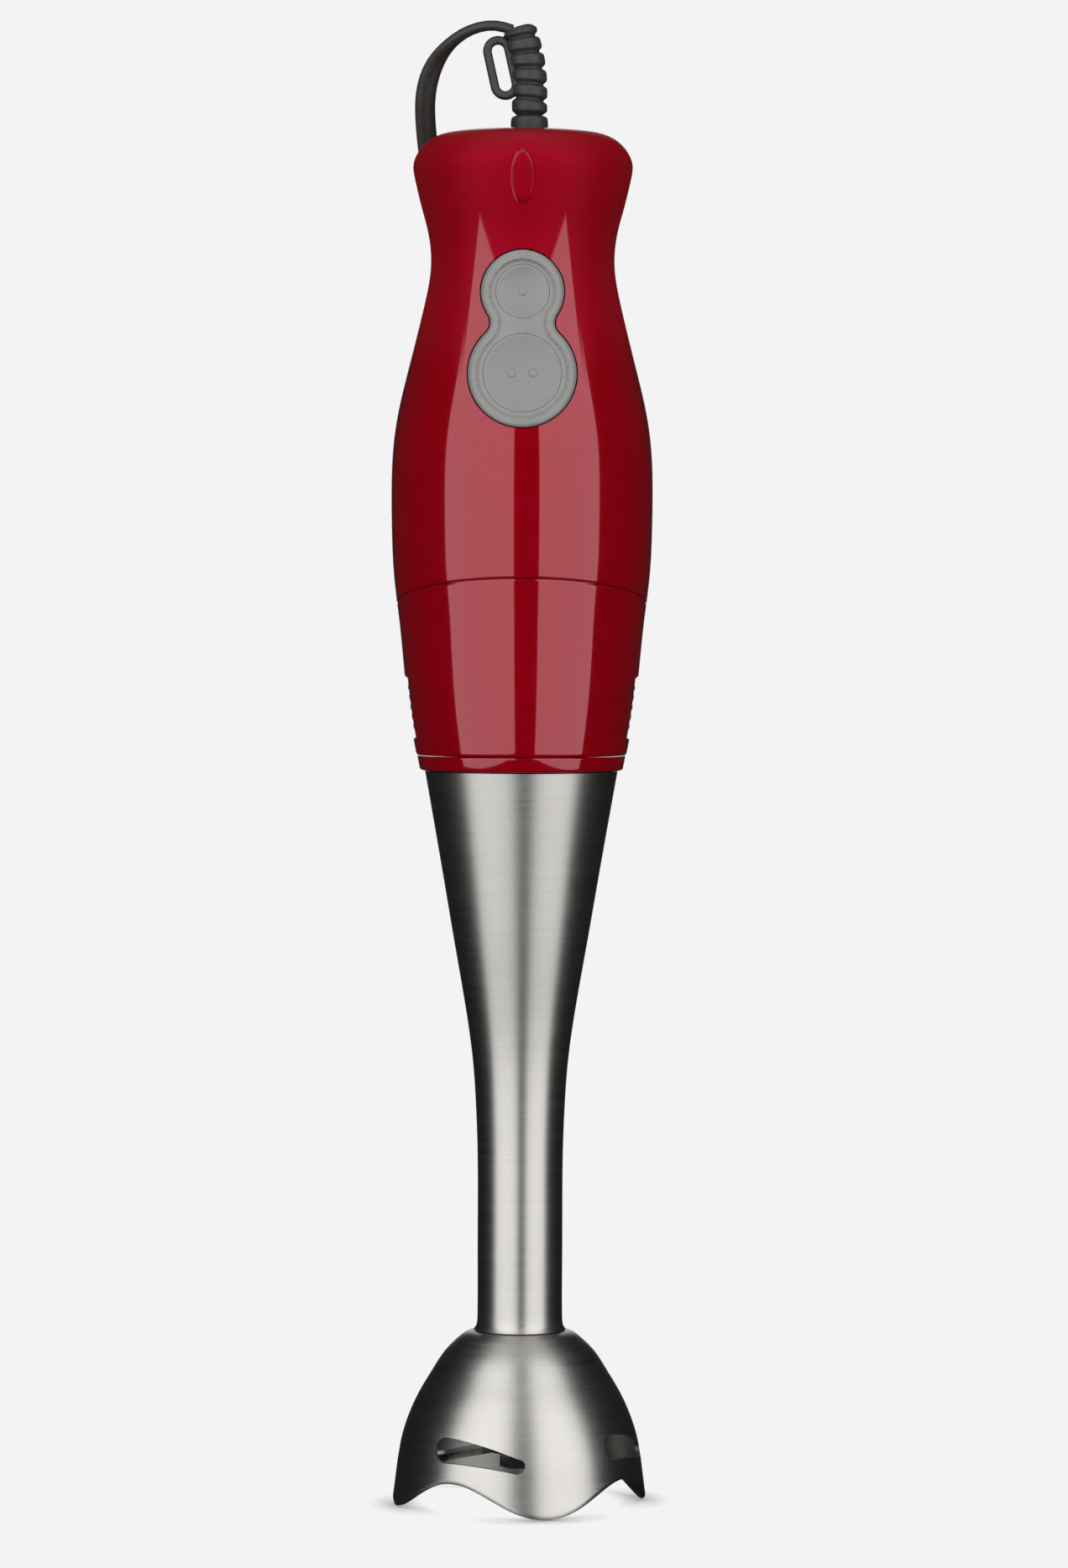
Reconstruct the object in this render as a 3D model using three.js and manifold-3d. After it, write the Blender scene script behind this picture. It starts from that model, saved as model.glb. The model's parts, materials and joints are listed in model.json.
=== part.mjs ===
// Immersion blender, in millimetres, +Z up, standing on the feet of its blade guard at z = 0.
// The buttons face -Y. Each named mesh is one separate physical piece.
import * as THREE from 'three';
import { mergeVertices } from 'three/addons/utils/BufferGeometryUtils.js';
import Module from 'manifold-3d';

const wasm = await Module();
wasm.setup();

// ---------------------------------------------------------------- driving dimensions
const gap = 0.3; // clearance between neighbouring pieces
const far = 60; // cutters reach this far past the axis

// blade guard: a stainless bell with four feet, four arches and four slots
const bellHeight = 44;
const bellRadius = 32.6;
const bellNeckRadius = 13;
const bellWall = 1.1;
const archHeight = 8;
const archHalfWidth = 19;
const footAzimuth = 11.5; // degrees from -Y towards +X
const slotAzimuth = -20;
const slotHalfLength = 11.5;
const slotWideEnd = 3.2; // end radii of the tapered slot
const slotNarrowEnd = 1.9;
const slotWideZ = 16.4;
const slotNarrowZ = 13.3;
const slotBow = 1.2;

// leg tube
const tubeLength = 143;
const tubeMouthRadius = 24.6;
const tubeStemRadius = 10.85;
const tubeWall = 0.8;

// collar and spigot on top of the leg
const collarHeight = 3.6;
const collarRadius = 26.6;
const collarChamfer = 1.1;
const spigotRadius = 16.3;
const spigotWall = 2.3;
const spigotLength = 20;

// handle outline
const housingHeight = 44.9; // lower rim to the seam at the front
const gripLength = 114.1; // seam at the front to the crown
const handleRadius = 33.35;
const waistRadius = 23.4;
const crownRadius = 27.95;
const wall = 2.2;
const seamDrop = 6.5; // how much lower the seam is at the sides
const crownRound = 9.5; // height of the rounded top edge
const waistDrop = 34.8; // from the top down to the waist
const beltRise = 21.6; // from the seam up to the widest point
const badgeHalfWidth = 2.8; // plain oval boss on the front
const badgeHalfHeight = 6.6;
const badgeDrop = 13.6; // from the top down to its centre
const badgeProud = 0.5;
const towerLength = 4.1; // the lower screw tower stands this far off the wall
const screwPastTower = 6;

// button panel: two lobes joined by a filleted neck
const upperLobe = 10.75;
const lowerLobe = 13.95;
const neckFillet = 3.55;
const upperLobeDrop = 42.1; // from the top down to the upper lobe's centre
const lobeSpacing = 20.6;
const panelProud = 0.4;
const panelThickness = 3;
const upperButtonRadius = 6.8;
const lowerButtonRadius = 9.9;
const buttonThickness = 3;
const buttonTravel = 1.2;
const stemRadius = 2.5;

// release buttons at both sides of the motor housing
const releaseHalfWidth = 18;
const releaseHalfHeight = 8.2;
const releaseRise = 12.1; // centre above the housing's lower rim
const releaseSink = 0.7; // the cap lies this much below the housing's surface
const capThickness = 1.6;
const releaseTravel = 1.5;
const floorThickness = 2;
const yokeHeight = 3;
const yokeWidth = 2;
const yokeRise = { right: 6.7, left: 13.7 }; // above the housing's lower rim
const catchHalfWidth = 3;

// socket sleeve that takes the spigot
const sleeveWall = 1.8;
const socketPlate = 2;

// motor
const shaftRadius = 2.5;
const armatureRadius = 14.9;
const airGap = 0.4;
const motorStack = 24;
const poleDepth = 5.2;
const backIron = 4;
const poleHalfAngle = 50;
const coilHalfAngle = 62;
const commutatorRadius = 9;
const commutatorLength = 8.7;
const fanRadius = 20;
const fanHeight = 5.5;
const fanVanes = 9;
const bearingRadius = 7;
const bearingLength = 4.5;
const bracketThickness = 3;
const motorScrewRadius = 1.5;
const brushWidth = 5;

// blade drive
const driveShaftRadius = 3;
const cupRadius = 10;
const cupLength = 14;
const couplerRadius = 5.6;
const couplerLength = 8;
const bladeReach = 23.5;
const bladeThickness = 1.8;
const bladeZ = 13;
const bladeSlope = 0.22;
const bladeHub = 7;
const nutRadius = 5;
const bushingRadius = 6;
const runningGap = 0.3;

// cord, plug and cord guard
const cordRadius = 2.1;
const guardX = 1.5;
const guardRadius = 4.7;
const guardRibRadius = 4.4;
const guardCoreRadius = 3.5;
const guardRibs = 6;
const hankFoldRadius = 20.65;
const hankRun = 75;
const hankHeight = 10.5;
const hankLift = 1.1;
const hankNearY = 75;
const tieWidth = 8;
const tieThickness = 0.8;
const tieY = 131;

// ---------------------------------------------------------------- heights that follow
const tubeBottom = bellHeight + gap;
const tubeTop = tubeBottom + tubeLength;
const collarBottom = tubeTop + gap;
const collarTop = collarBottom + collarHeight;
const housingBottom = collarTop + gap;
const seamZ = housingBottom + housingHeight;
const top = seamZ + gripLength;
const upperButtonZ = top - upperLobeDrop;
const lowerButtonZ = upperButtonZ - lobeSpacing;
const releaseZ = housingBottom + releaseRise;
const spigotTop = collarTop + spigotLength;
const sleeveBore = spigotRadius + gap;
const sleeveRadius = sleeveBore + sleeveWall;
const socketPlateZ = spigotTop + 2;
const lowerBracketZ = socketPlateZ + socketPlate + 3;
const fanZ = lowerBracketZ + bracketThickness + 2;
const lowerWindingZ = fanZ + fanHeight + 0.5;
const windingHeight = 4.7;
const stackZ = lowerWindingZ + windingHeight + gap;
const stackTop = stackZ + motorStack;
const commutatorZ = stackTop + gap + windingHeight + gap;
const upperBracketZ = commutatorZ + commutatorLength + 1;
const shaftTop = upperBracketZ + bearingLength + 2;
const statorBore = armatureRadius + airGap;
const backIronInner = statorBore + poleDepth;
const statorRadius = backIronInner + backIron;
const motorScrewX = statorRadius + 0.4;
const tubeBore = tubeStemRadius - tubeWall;

// ---------------------------------------------------------------- finishes
function finish(color, roughness, metalness) {
  return new THREE.MeshStandardMaterial({ color, roughness, metalness });
}
const redPlastic = finish(0x8c0a14, 0.15, 0);
const greyRubber = finish(0x9a9a97, 0.8, 0);
const blackRubber = finish(0x2b2b29, 0.75, 0);
const darkPlastic = finish(0x303234, 0.6, 0);
const brushedSteel = finish(0xc4c2bd, 0.32, 1);
const polishedSteel = finish(0xd0d2d4, 0.2, 1);
const laminatedIron = finish(0x6d6f72, 0.5, 0.9);
const copper = finish(0xb5652b, 0.35, 0.9);
const brass = finish(0xc9a24a, 0.3, 0.9);
const carbon = finish(0x1c1c1d, 0.9, 0);
const boardGreen = finish(0x23563a, 0.6, 0);

// ---------------------------------------------------------------- solid helpers
function signedVolume(points, corners) {
  const a = new THREE.Vector3();
  const b = new THREE.Vector3();
  const c = new THREE.Vector3();
  let sum = 0;
  for (let i = 0; i < corners.length; i += 3) {
    a.fromArray(points, 3 * corners[i]);
    b.fromArray(points, 3 * corners[i + 1]);
    c.fromArray(points, 3 * corners[i + 2]);
    sum += a.dot(b.cross(c));
  }
  return sum;
}

function toSolid(geometry) {
  geometry.deleteAttribute('normal');
  geometry.deleteAttribute('uv');
  const merged = mergeVertices(geometry, 1e-4);
  const points = merged.attributes.position.array;
  const all = merged.index.array;
  const corners = [];
  for (let i = 0; i < all.length; i += 3) {
    const [a, b, c] = [all[i], all[i + 1], all[i + 2]];
    if (a !== b && b !== c && c !== a) corners.push(a, b, c);
  }
  if (signedVolume(points, corners) < 0) corners.reverse();
  const triVerts = Uint32Array.from(corners);
  return new wasm.Manifold(new wasm.Mesh({ numProp: 3, vertProperties: points, triVerts }));
}

function toGeometry(solid) {
  const mesh = solid.getMesh();
  const geometry = new THREE.BufferGeometry();
  geometry.setAttribute('position', new THREE.BufferAttribute(mesh.vertProperties, 3));
  geometry.setIndex(new THREE.BufferAttribute(mesh.triVerts, 1));
  geometry.computeVertexNormals();
  return geometry;
}

// a profile of [radius, height] points turned about the Z axis
function turned(profile, sides = 28) {
  const points = profile.map(([r, z]) => new THREE.Vector2(r, z));
  const open = profile[0][0] > 0 || profile[profile.length - 1][0] > 0;
  if (open) points.push(points[0].clone());
  return toSolid(new THREE.LatheGeometry(points, sides).rotateX(Math.PI / 2));
}

function ring(inner, outer, low, high, sides = 16) {
  return turned([[inner, low], [outer, low], [outer, high], [inner, high]], sides);
}

// shape drawn in (x, y), standing from low to high in Z
function prism(shape, low, high, curveSegments = 8) {
  const options = { depth: high - low, bevelEnabled: false, curveSegments };
  return toSolid(new THREE.ExtrudeGeometry(shape, options).translate(0, 0, low));
}

// shape drawn in (x, z), reaching from y = back to y = front
function prismAlongY(shape, back, front, curveSegments = 8) {
  const options = { depth: front - back, bevelEnabled: false, curveSegments };
  const geometry = new THREE.ExtrudeGeometry(shape, options).rotateX(Math.PI / 2);
  return toSolid(geometry.translate(0, front, 0));
}

// shape drawn in (y, z), reaching from x = low to x = high
function prismAlongX(shape, low, high, curveSegments = 8) {
  const options = { depth: high - low, bevelEnabled: false, curveSegments };
  const geometry = new THREE.ExtrudeGeometry(shape, options).rotateX(Math.PI / 2).rotateZ(Math.PI / 2);
  return toSolid(geometry.translate(low, 0, 0));
}

function block(x0, x1, y0, y1, z0, z1) {
  const geometry = new THREE.BoxGeometry(x1 - x0, y1 - y0, z1 - z0);
  return toSolid(geometry.translate((x0 + x1) / 2, (y0 + y1) / 2, (z0 + z1) / 2));
}

function oval(halfWidth, halfHeight, x = 0, y = 0) {
  return new THREE.Shape().absellipse(x, y, halfWidth, halfHeight, 0, 2 * Math.PI);
}

// piece of a ring between two radii, centred on an azimuth given in degrees from +X
function sector(inner, outer, middle, halfAngle) {
  const start = THREE.MathUtils.degToRad(middle - halfAngle);
  const end = THREE.MathUtils.degToRad(middle + halfAngle);
  const shape = new THREE.Shape();
  shape.absarc(0, 0, outer, start, end, false);
  shape.absarc(0, 0, inner, end, start, true);
  return shape;
}

function turnedAbout(solid, degrees) {
  return solid.rotate([0, 0, degrees]);
}

function joined(solids) {
  return solids.reduce((whole, solid) => whole.add(solid));
}

const part = new THREE.Group();
function piece(group, name, solid, material) {
  const mesh = new THREE.Mesh(toGeometry(solid), material);
  mesh.name = name;
  group.add(mesh);
}

function bodyGroup() {
  const group = new THREE.Group();
  part.add(group);
  return group;
}
const handle = bodyGroup();
const leg = bodyGroup();
const rotor = bodyGroup();
const bladeDrive = bodyGroup();
const buttons = bodyGroup();
const lead = bodyGroup();

// ---------------------------------------------------------------- outlines
// a smooth curve through [radius, height] stations, as a dense list of points
function smoothOutline(stations, count) {
  const curve = new THREE.SplineCurve(stations.map(([r, z]) => new THREE.Vector2(r, z)));
  return curve.getPoints(count).map((point) => [Math.max(point.x, 0), point.y]);
}

function radiusAlong(outline, z) {
  for (let i = 1; i < outline.length; i += 1) {
    const [r0, z0] = outline[i - 1];
    const [r1, z1] = outline[i];
    if (z <= z1) return r0 + ((r1 - r0) * (z - z0)) / (z1 - z0);
  }
  return outline[outline.length - 1][0];
}

const handleStations = [
  [collarRadius + 0.2, housingBottom],
  [collarRadius + 1.9, housingBottom + 10],
  [handleRadius - 3.3, housingBottom + 22],
  [handleRadius - 1.6, seamZ - 8],
  [handleRadius - 0.7, seamZ],
  [handleRadius, seamZ + beltRise],
  [handleRadius - 0.75, seamZ + 36.4],
  [handleRadius - 2.2, seamZ + 45],
  [(handleRadius + waistRadius) / 2 - 0.5, top - waistDrop - 21.4],
  [waistRadius + 2.3, top - waistDrop - 12.8],
  [waistRadius, top - waistDrop],
  [waistRadius + 0.8, top - waistDrop + 9.1],
  [crownRadius - 2, top - crownRound - 9.4],
  [crownRadius, top - crownRound],
  [crownRadius - 1.5, top - 5.2],
  [crownRadius - 4.6, top - 2.1],
  [crownRadius - 9.3, top - 0.7],
  [0, top],
];
const handleOutline = smoothOutline(handleStations, 340);
const outerRadius = (z) => radiusAlong(handleOutline, z);
const innerRadius = (z) => outerRadius(z) - wall;
// the largest round plate that clears the flats of the faceted wall at a height
const wallSides = 32;
const plateRadius = (z) => innerRadius(z) * Math.cos(Math.PI / wallSides) - gap;

// a turned skin that follows the handle between two offsets from its surface
function handleSkin(inside, outside, low, high, steps, sides = wallSides) {
  const levels = Array.from({ length: steps + 1 }, (_, i) => low + ((high - low) * i) / steps);
  const outer = levels.map((z) => [outerRadius(z) + outside, z]);
  const inner = levels.map((z) => [outerRadius(z) + inside, z]);
  return turned([...outer, ...inner.reverse()], sides);
}

// everything above the curved parting line, moved up or down by an offset; the line drops
// with 1 - cos of the azimuth, from the front to either side
function aboveSeam(offset) {
  const steps = 16;
  const shape = new THREE.Shape();
  shape.moveTo(-far, top + far);
  shape.lineTo(-far, seamZ + offset - seamDrop);
  for (let i = 0; i <= steps; i += 1) {
    const azimuth = (Math.PI / 2) * ((2 * i) / steps - 1);
    shape.lineTo(handleRadius * Math.sin(azimuth), seamZ + offset - seamDrop * (1 - Math.cos(azimuth)));
  }
  shape.lineTo(far, seamZ + offset - seamDrop);
  shape.lineTo(far, top + far);
  return prismAlongY(shape, -far, far);
}

// figure-of-eight outline of the button panel, grown by an offset
function panelOutline(offset) {
  const lowerR = lowerLobe + offset;
  const upperR = upperLobe + offset;
  const web = neckFillet - offset;
  const reachLow = lowerR + web;
  const reachHigh = upperR + web;
  const rise = (reachLow ** 2 - reachHigh ** 2 + lobeSpacing ** 2) / (2 * lobeSpacing);
  const side = Math.sqrt(reachLow ** 2 - rise ** 2);
  const low = Math.atan2(rise, side);
  const high = Math.atan2(lobeSpacing - rise, side);
  const shape = new THREE.Shape();
  shape.absarc(0, lowerButtonZ, lowerR, Math.PI - low, 2 * Math.PI + low, false);
  shape.absarc(side, lowerButtonZ + rise, web, Math.PI + low, Math.PI - high, true);
  shape.absarc(0, upperButtonZ, upperR, -high, Math.PI + high, false);
  shape.absarc(-side, lowerButtonZ + rise, web, high, -low, true);
  return shape;
}

// ---------------------------------------------------------------- handle shells
const screwZ = top - 24.5; // the upper shell screw
const lowerScrewZ = upperBracketZ + bracketThickness;
const screwRadius = 1.6;
const screwHeadRadius = 3;
const towerRadius = 3.4;
const counterboreDepth = 4;
const guardNeckRadius = 3.6;
const lowerTowerY = innerRadius(lowerScrewZ) - towerLength;
const upperScrewTip = 13.3 - outerRadius(screwZ);

function handleShells() {
  const outer = turned([[0, housingBottom], ...handleOutline.filter((_, i) => i % 20 === 0)], 32);
  const innerStations = handleOutline.filter(([, z], i) => i % 34 === 0 && z < top - crownRound);
  const inner = turned(
    [
      [0, housingBottom - 1],
      ...innerStations.map(([r, z]) => [r - wall, z]),
      [crownRadius - wall - 1.5, top - 5.5],
      [crownRadius - wall - 6, top - wall - 1],
      [0, top - wall],
    ],
    28,
  );
  const skin = outer.subtract(inner).intersect(aboveSeam(gap / 2));
  const guardHole = ring(0, guardNeckRadius + gap, top - 12, top + 5, 16).translate([guardX, 0, 0]);
  const shell = skin.subtract(guardHole);
  const badgeZ = top - badgeDrop;
  const badge = prismAlongY(oval(badgeHalfWidth, badgeHalfHeight, 0, badgeZ), -far, -10);
  const badgeReach = badgeHalfHeight + 0.5;
  const badgeSkin = handleSkin(-1, badgeProud, badgeZ - badgeReach, badgeZ + badgeReach, 5, 44);
  const frontHalf = block(-far, far, -far, -gap / 2, housingBottom, top + far);
  const rearHalf = block(-far, far, gap / 2, far, housingBottom, top + far);
  const bore = prismAlongY(oval(screwRadius + gap, screwRadius + gap, 0, screwZ), -far / 4, far);
  const towers = handleTower(screwZ, towerRadius);
  const front = shell
    .subtract(prismAlongY(panelOutline(0), -far, 0))
    .add(badgeSkin.intersect(badge))
    .add(towers.intersect(block(-far, far, -far, 0, screwZ - 9, screwZ + 9)))
    .subtract(bore)
    .intersect(frontHalf);
  const lowerTower = prismAlongY(oval(towerRadius, towerRadius, 0, lowerScrewZ), lowerTowerY, far).intersect(
    handleSolid(lowerScrewZ),
  );
  const rear = shell
    .add(towers.intersect(block(-far, far, 0, far, screwZ - 9, screwZ + 9)))
    .add(lowerTower)
    .subtract(bore)
    .subtract(counterbore(screwZ))
    .subtract(counterbore(lowerScrewZ))
    .subtract(prismAlongY(oval(screwRadius + gap, screwRadius + gap, 0, lowerScrewZ), 0, far))
    .intersect(rearHalf);
  piece(handle, 'handle_front_shell', front, redPlastic);
  piece(handle, 'handle_rear_shell', rear, redPlastic);
}

function handleSolid(z) {
  const levels = [-9, -3, 3, 9].map((step) => z + step);
  const side = levels.map((level) => [outerRadius(level) - wall / 2, level]);
  return turned([[0, levels[0]], ...side, [0, levels[3]]]);
}

function handleTower(z, radius) {
  return prismAlongY(oval(radius, radius, 0, z), -far, far).intersect(handleSolid(z));
}

function counterbore(z) {
  const floor = outerRadius(z) - counterboreDepth;
  return prismAlongY(oval(screwHeadRadius + gap, screwHeadRadius + gap, 0, z), floor, far);
}

function shellScrew(name, z, tip) {
  const headTop = outerRadius(z) - 1.6;
  const headBottom = outerRadius(z) - counterboreDepth + gap;
  const shank = prismAlongY(oval(screwRadius, screwRadius, 0, z), tip, headBottom + 0.5);
  const head = prismAlongY(oval(screwHeadRadius, screwHeadRadius, 0, z), headBottom, headTop);
  const slot = block(-screwHeadRadius, screwHeadRadius, headTop - 0.9, far, z - 0.4, z + 0.4);
  piece(handle, name, shank.add(head).subtract(slot), polishedSteel);
}

function motorHousing() {
  const steps = 6;
  const sideTop = seamZ + 1;
  const skin = handleSkin(-wall, 0, housingBottom, sideTop, steps);
  const rim = outerRadius(housingBottom) - 0.5;
  const floor = ring(sleeveRadius + gap, rim, housingBottom, housingBottom + floorThickness, 36);
  const window = prismAlongX(oval(releaseHalfWidth, releaseHalfHeight, 0, releaseZ), -far, far, 6);
  const sideOnly = block(-8, 8, -far, far, housingBottom, sideTop);
  const housing = skin.add(floor).subtract(window.subtract(sideOnly)).subtract(aboveSeam(-gap / 2));
  piece(handle, 'motor_housing', housing, redPlastic);
}

// ---------------------------------------------------------------- button panel and switches
const boardFront = -12.5;
const boardThickness = 1.5;
const boardHalfWidth = 11;
const boardPastButton = 7.5;
const switchDepth = 4.7;
const switchHalfWidth = 5;
const switchHalfHeight = 3;
const diodeRadius = 1.6;
const capacitorDepth = 8;
const capacitorHalfWidth = 9;
const capacitorHeight = 15;
const clampHalfWidth = 7;
const clampHalfDepth = 4;
const clampHalfHeight = 3;
const clampDrop = 12; // from the top down to the cord clamp
const switchFront = boardFront - gap - switchDepth;

function panelAndButtons() {
  const low = lowerButtonZ - lowerLobe - 1;
  const high = upperButtonZ + upperLobe + 1;
  const skin = handleSkin(-panelThickness, panelProud, low, high, 8, 40);
  const hole = (z, radius) => prismAlongY(oval(radius + gap, radius + gap, 0, z), -far, 0);
  const panel = skin
    .intersect(prismAlongY(panelOutline(-gap), -far, 0))
    .subtract(hole(upperButtonZ, upperButtonRadius))
    .subtract(hole(lowerButtonZ, lowerButtonRadius));
  piece(handle, 'button_panel', panel, greyRubber);
  speedButton('speed_one_button', upperButtonZ, upperButtonRadius);
  speedButton('speed_two_button', lowerButtonZ, lowerButtonRadius);
}

function speedButton(name, z, radius) {
  const skin = handleSkin(-buttonThickness, panelProud - 0.2, z - radius - 1, z + radius + 1, 4, 40);
  const disc = skin.intersect(prismAlongY(oval(radius, radius, 0, z), -far, 0));
  const stemEnd = switchFront - gap - buttonTravel;
  const stem = prismAlongY(oval(stemRadius, stemRadius, 0, z), -outerRadius(z) + 1, stemEnd);
  piece(buttons, name, disc.add(stem), greyRubber);
}

function switchesAndParts() {
  const boardLow = shaftTop + 1;
  const boardHigh = upperButtonZ + boardPastButton;
  const boardRear = boardFront + boardThickness;
  const board = block(-boardHalfWidth, boardHalfWidth, boardFront, boardRear, boardLow, boardHigh);
  piece(handle, 'switch_board', board, boardGreen);
  const microSwitch = (z) => {
    const [w, h] = [switchHalfWidth, switchHalfHeight];
    const body = block(-w, w, switchFront + 0.8, boardFront - gap, z - h, z + h);
    return body.add(block(-w * 0.3, w * 0.3, switchFront, switchFront + 1, z - h / 2, z + h / 2));
  };
  piece(handle, 'speed_one_switch', microSwitch(upperButtonZ), darkPlastic);
  piece(handle, 'speed_two_switch', microSwitch(lowerButtonZ), darkPlastic);
  const boardBack = boardRear + gap;
  const middle = (upperButtonZ + lowerButtonZ) / 2;
  const diode = prismAlongX(oval(diodeRadius, diodeRadius, boardBack + diodeRadius, middle), -3, 3);
  piece(handle, 'speed_diode', diode, darkPlastic);
  const capacitorLow = shaftTop + 6;
  const capacitorBack = 2 + capacitorDepth;
  const [wide, tall] = [capacitorHalfWidth, capacitorLow + capacitorHeight];
  const capacitor = block(-wide, wide, 2, capacitorBack, capacitorLow, tall);
  piece(handle, 'suppression_capacitor', capacitor, brass);
  const clampZ = top - clampDrop;
  const [low, high] = [clampZ - clampHalfHeight, clampZ + clampHalfHeight];
  const [left, right] = [guardX - clampHalfWidth, guardX + clampHalfWidth];
  const clamp = block(left, right, -clampHalfDepth, clampHalfDepth, low, high);
  const groove = ring(0, cordRadius + gap, clampZ - 9, clampZ + 9, 12).translate([guardX, 0, 0]);
  piece(handle, 'cord_clamp', clamp.subtract(groove), darkPlastic);
}

// ---------------------------------------------------------------- release buttons and socket
function releaseButton(name, side, rise) {
  const skin = handleSkin(-releaseSink - capThickness, -releaseSink, releaseZ - 9, releaseZ + 9, 4);
  const shape = oval(releaseHalfWidth - gap, releaseHalfHeight - gap, 0, releaseZ);
  const cap = skin.intersect(prismAlongX(shape, 8, far, 6));
  const low = housingBottom + rise;
  const yokeInner = sleeveRadius + gap + releaseTravel;
  const yoke = ring(yokeInner, yokeInner + yokeWidth, low, low + yokeHeight, 20);
  const reach = outerRadius(low) - releaseSink - capThickness / 2;
  const web = block(yokeInner + yokeWidth / 2, reach, -4, 4, low, low + yokeHeight);
  const catchRoot = -yokeInner - 0.6;
  const catchBlock = block(catchRoot, -sleeveBore, -catchHalfWidth, catchHalfWidth, low, low + yokeHeight);
  const whole = cap.add(yoke).add(web).add(catchBlock);
  piece(buttons, name, side > 0 ? whole : turnedAbout(whole, 180), redPlastic);
}

function couplingSocket() {
  const low = housingBottom + 0.6;
  const sleeve = ring(sleeveBore, sleeveRadius, low, socketPlateZ + socketPlate, 24);
  const rim = plateRadius(socketPlateZ);
  const plate = ring(couplerRadius + 1.4, rim, socketPlateZ, socketPlateZ + socketPlate, 24);
  const slot = (side, rise) => {
    const z = housingBottom + rise;
    const width = catchHalfWidth + gap;
    const x = side > 0 ? [-far, -10] : [10, far];
    return block(x[0], x[1], -width, width, z - gap, z + yokeHeight + gap);
  };
  const socket = sleeve.add(plate).subtract(slot(1, yokeRise.right)).subtract(slot(-1, yokeRise.left));
  piece(handle, 'coupling_socket', socket, darkPlastic);
}

// ---------------------------------------------------------------- motor
const screwHole = motorScrewRadius + gap;

function screwHoles(low, high) {
  const hole = ring(0, screwHole, low, high, 8);
  return joined([-1, 1].map((side) => hole.translate([side * motorScrewX, 0, 0])));
}

// windows between a bracket's hub and its rim
function ventCut(rimRadius, low, halfAngle) {
  const angles = [45, 135, 225, 315];
  const hubRadius = bearingRadius + 4;
  const cuts = angles.map((angle) => prism(sector(hubRadius, rimRadius, angle, halfAngle), low, low + 16, 3));
  return joined(cuts);
}

function brackets() {
  const lowerRadius = plateRadius(lowerBracketZ);
  const lower = ring(bearingRadius + gap, lowerRadius, lowerBracketZ, lowerBracketZ + bracketThickness, 24);
  const lowerVents = ventCut(lowerRadius - 5, lowerBracketZ - 1, 24);
  piece(handle, 'lower_bracket', lower.subtract(lowerVents).subtract(screwHoles(0, top)), darkPlastic);
  const upperRadius = plateRadius(upperBracketZ + 2 * bracketThickness);
  const upperTop = upperBracketZ + 2 * bracketThickness;
  const upper = ring(bearingRadius + gap, upperRadius, upperBracketZ, upperTop, 24);
  const upperVents = ventCut(upperRadius - 6, upperBracketZ - 1, 22);
  const hold = oval(screwRadius + gap, screwRadius + gap, 0, lowerScrewZ);
  const panelBack = panelThickness + gap - outerRadius(lowerButtonZ);
  const panelNotch = prismAlongY(panelOutline(gap), -far, panelBack, 4);
  const pocketRadius = towerRadius + gap;
  const towerPocket = prismAlongY(oval(pocketRadius, pocketRadius, 0, lowerScrewZ), lowerTowerY - gap, far);
  const upperHeld = upper
    .subtract(upperVents)
    .subtract(screwHoles(0, top))
    .subtract(panelNotch)
    .subtract(prismAlongY(hold, lowerTowerY - screwPastTower - 2, far))
    .subtract(towerPocket);
  piece(handle, 'upper_bracket', upperHeld, darkPlastic);
  const bearing = (low) => ring(shaftRadius + runningGap, bearingRadius, low, low + bearingLength, 20);
  piece(handle, 'lower_bearing', bearing(lowerBracketZ - 0.7), polishedSteel);
  piece(handle, 'upper_bearing', bearing(upperBracketZ + 0.7), polishedSteel);
  for (const [name, side] of [['motor_screw_left', -1], ['motor_screw_right', 1]]) {
    const head = lowerBracketZ - gap;
    const shank = ring(0, motorScrewRadius, head - 0.5, upperTop, 12);
    const cap = ring(0, 2.6, head - 1.8, head, 12);
    piece(handle, name, shank.add(cap).translate([side * motorScrewX, 0, 0]), polishedSteel);
  }
}

function stator() {
  const back = ring(backIronInner, statorRadius, stackZ, stackTop, 28);
  const poles = [90, 270].map((angle) =>
    prism(sector(statorBore, backIronInner + 0.5, angle, poleHalfAngle), stackZ, stackTop, 6),
  );
  const ear = ring(0, motorScrewRadius + 1.9, stackZ, stackTop, 10);
  const ears = [-1, 1].map((side) => ear.translate([side * motorScrewX, 0, 0]));
  const holes = screwHoles(stackZ - 1, stackTop + 1);
  const bore = ring(0, backIronInner - 0.2, stackZ - 1, stackTop + 1, 28);
  const core = back.add(joined(ears).subtract(bore)).add(joined(poles)).subtract(holes);
  piece(handle, 'stator_core', core, laminatedIron);
  const inner = statorBore + 0.6;
  const outer = backIronInner - gap;
  for (const [name, angle] of [['field_coil_front', 270], ['field_coil_rear', 90]]) {
    const arc = sector(inner, outer, angle, coilHalfAngle);
    const coil = prism(arc, stackZ - windingHeight, stackTop + windingHeight);
    const poleArc = sector(inner - 2, outer + 2, angle, poleHalfAngle + 1.5);
    piece(handle, name, coil.subtract(prism(poleArc, stackZ - gap, stackTop + gap)), copper);
  }
}

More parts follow.
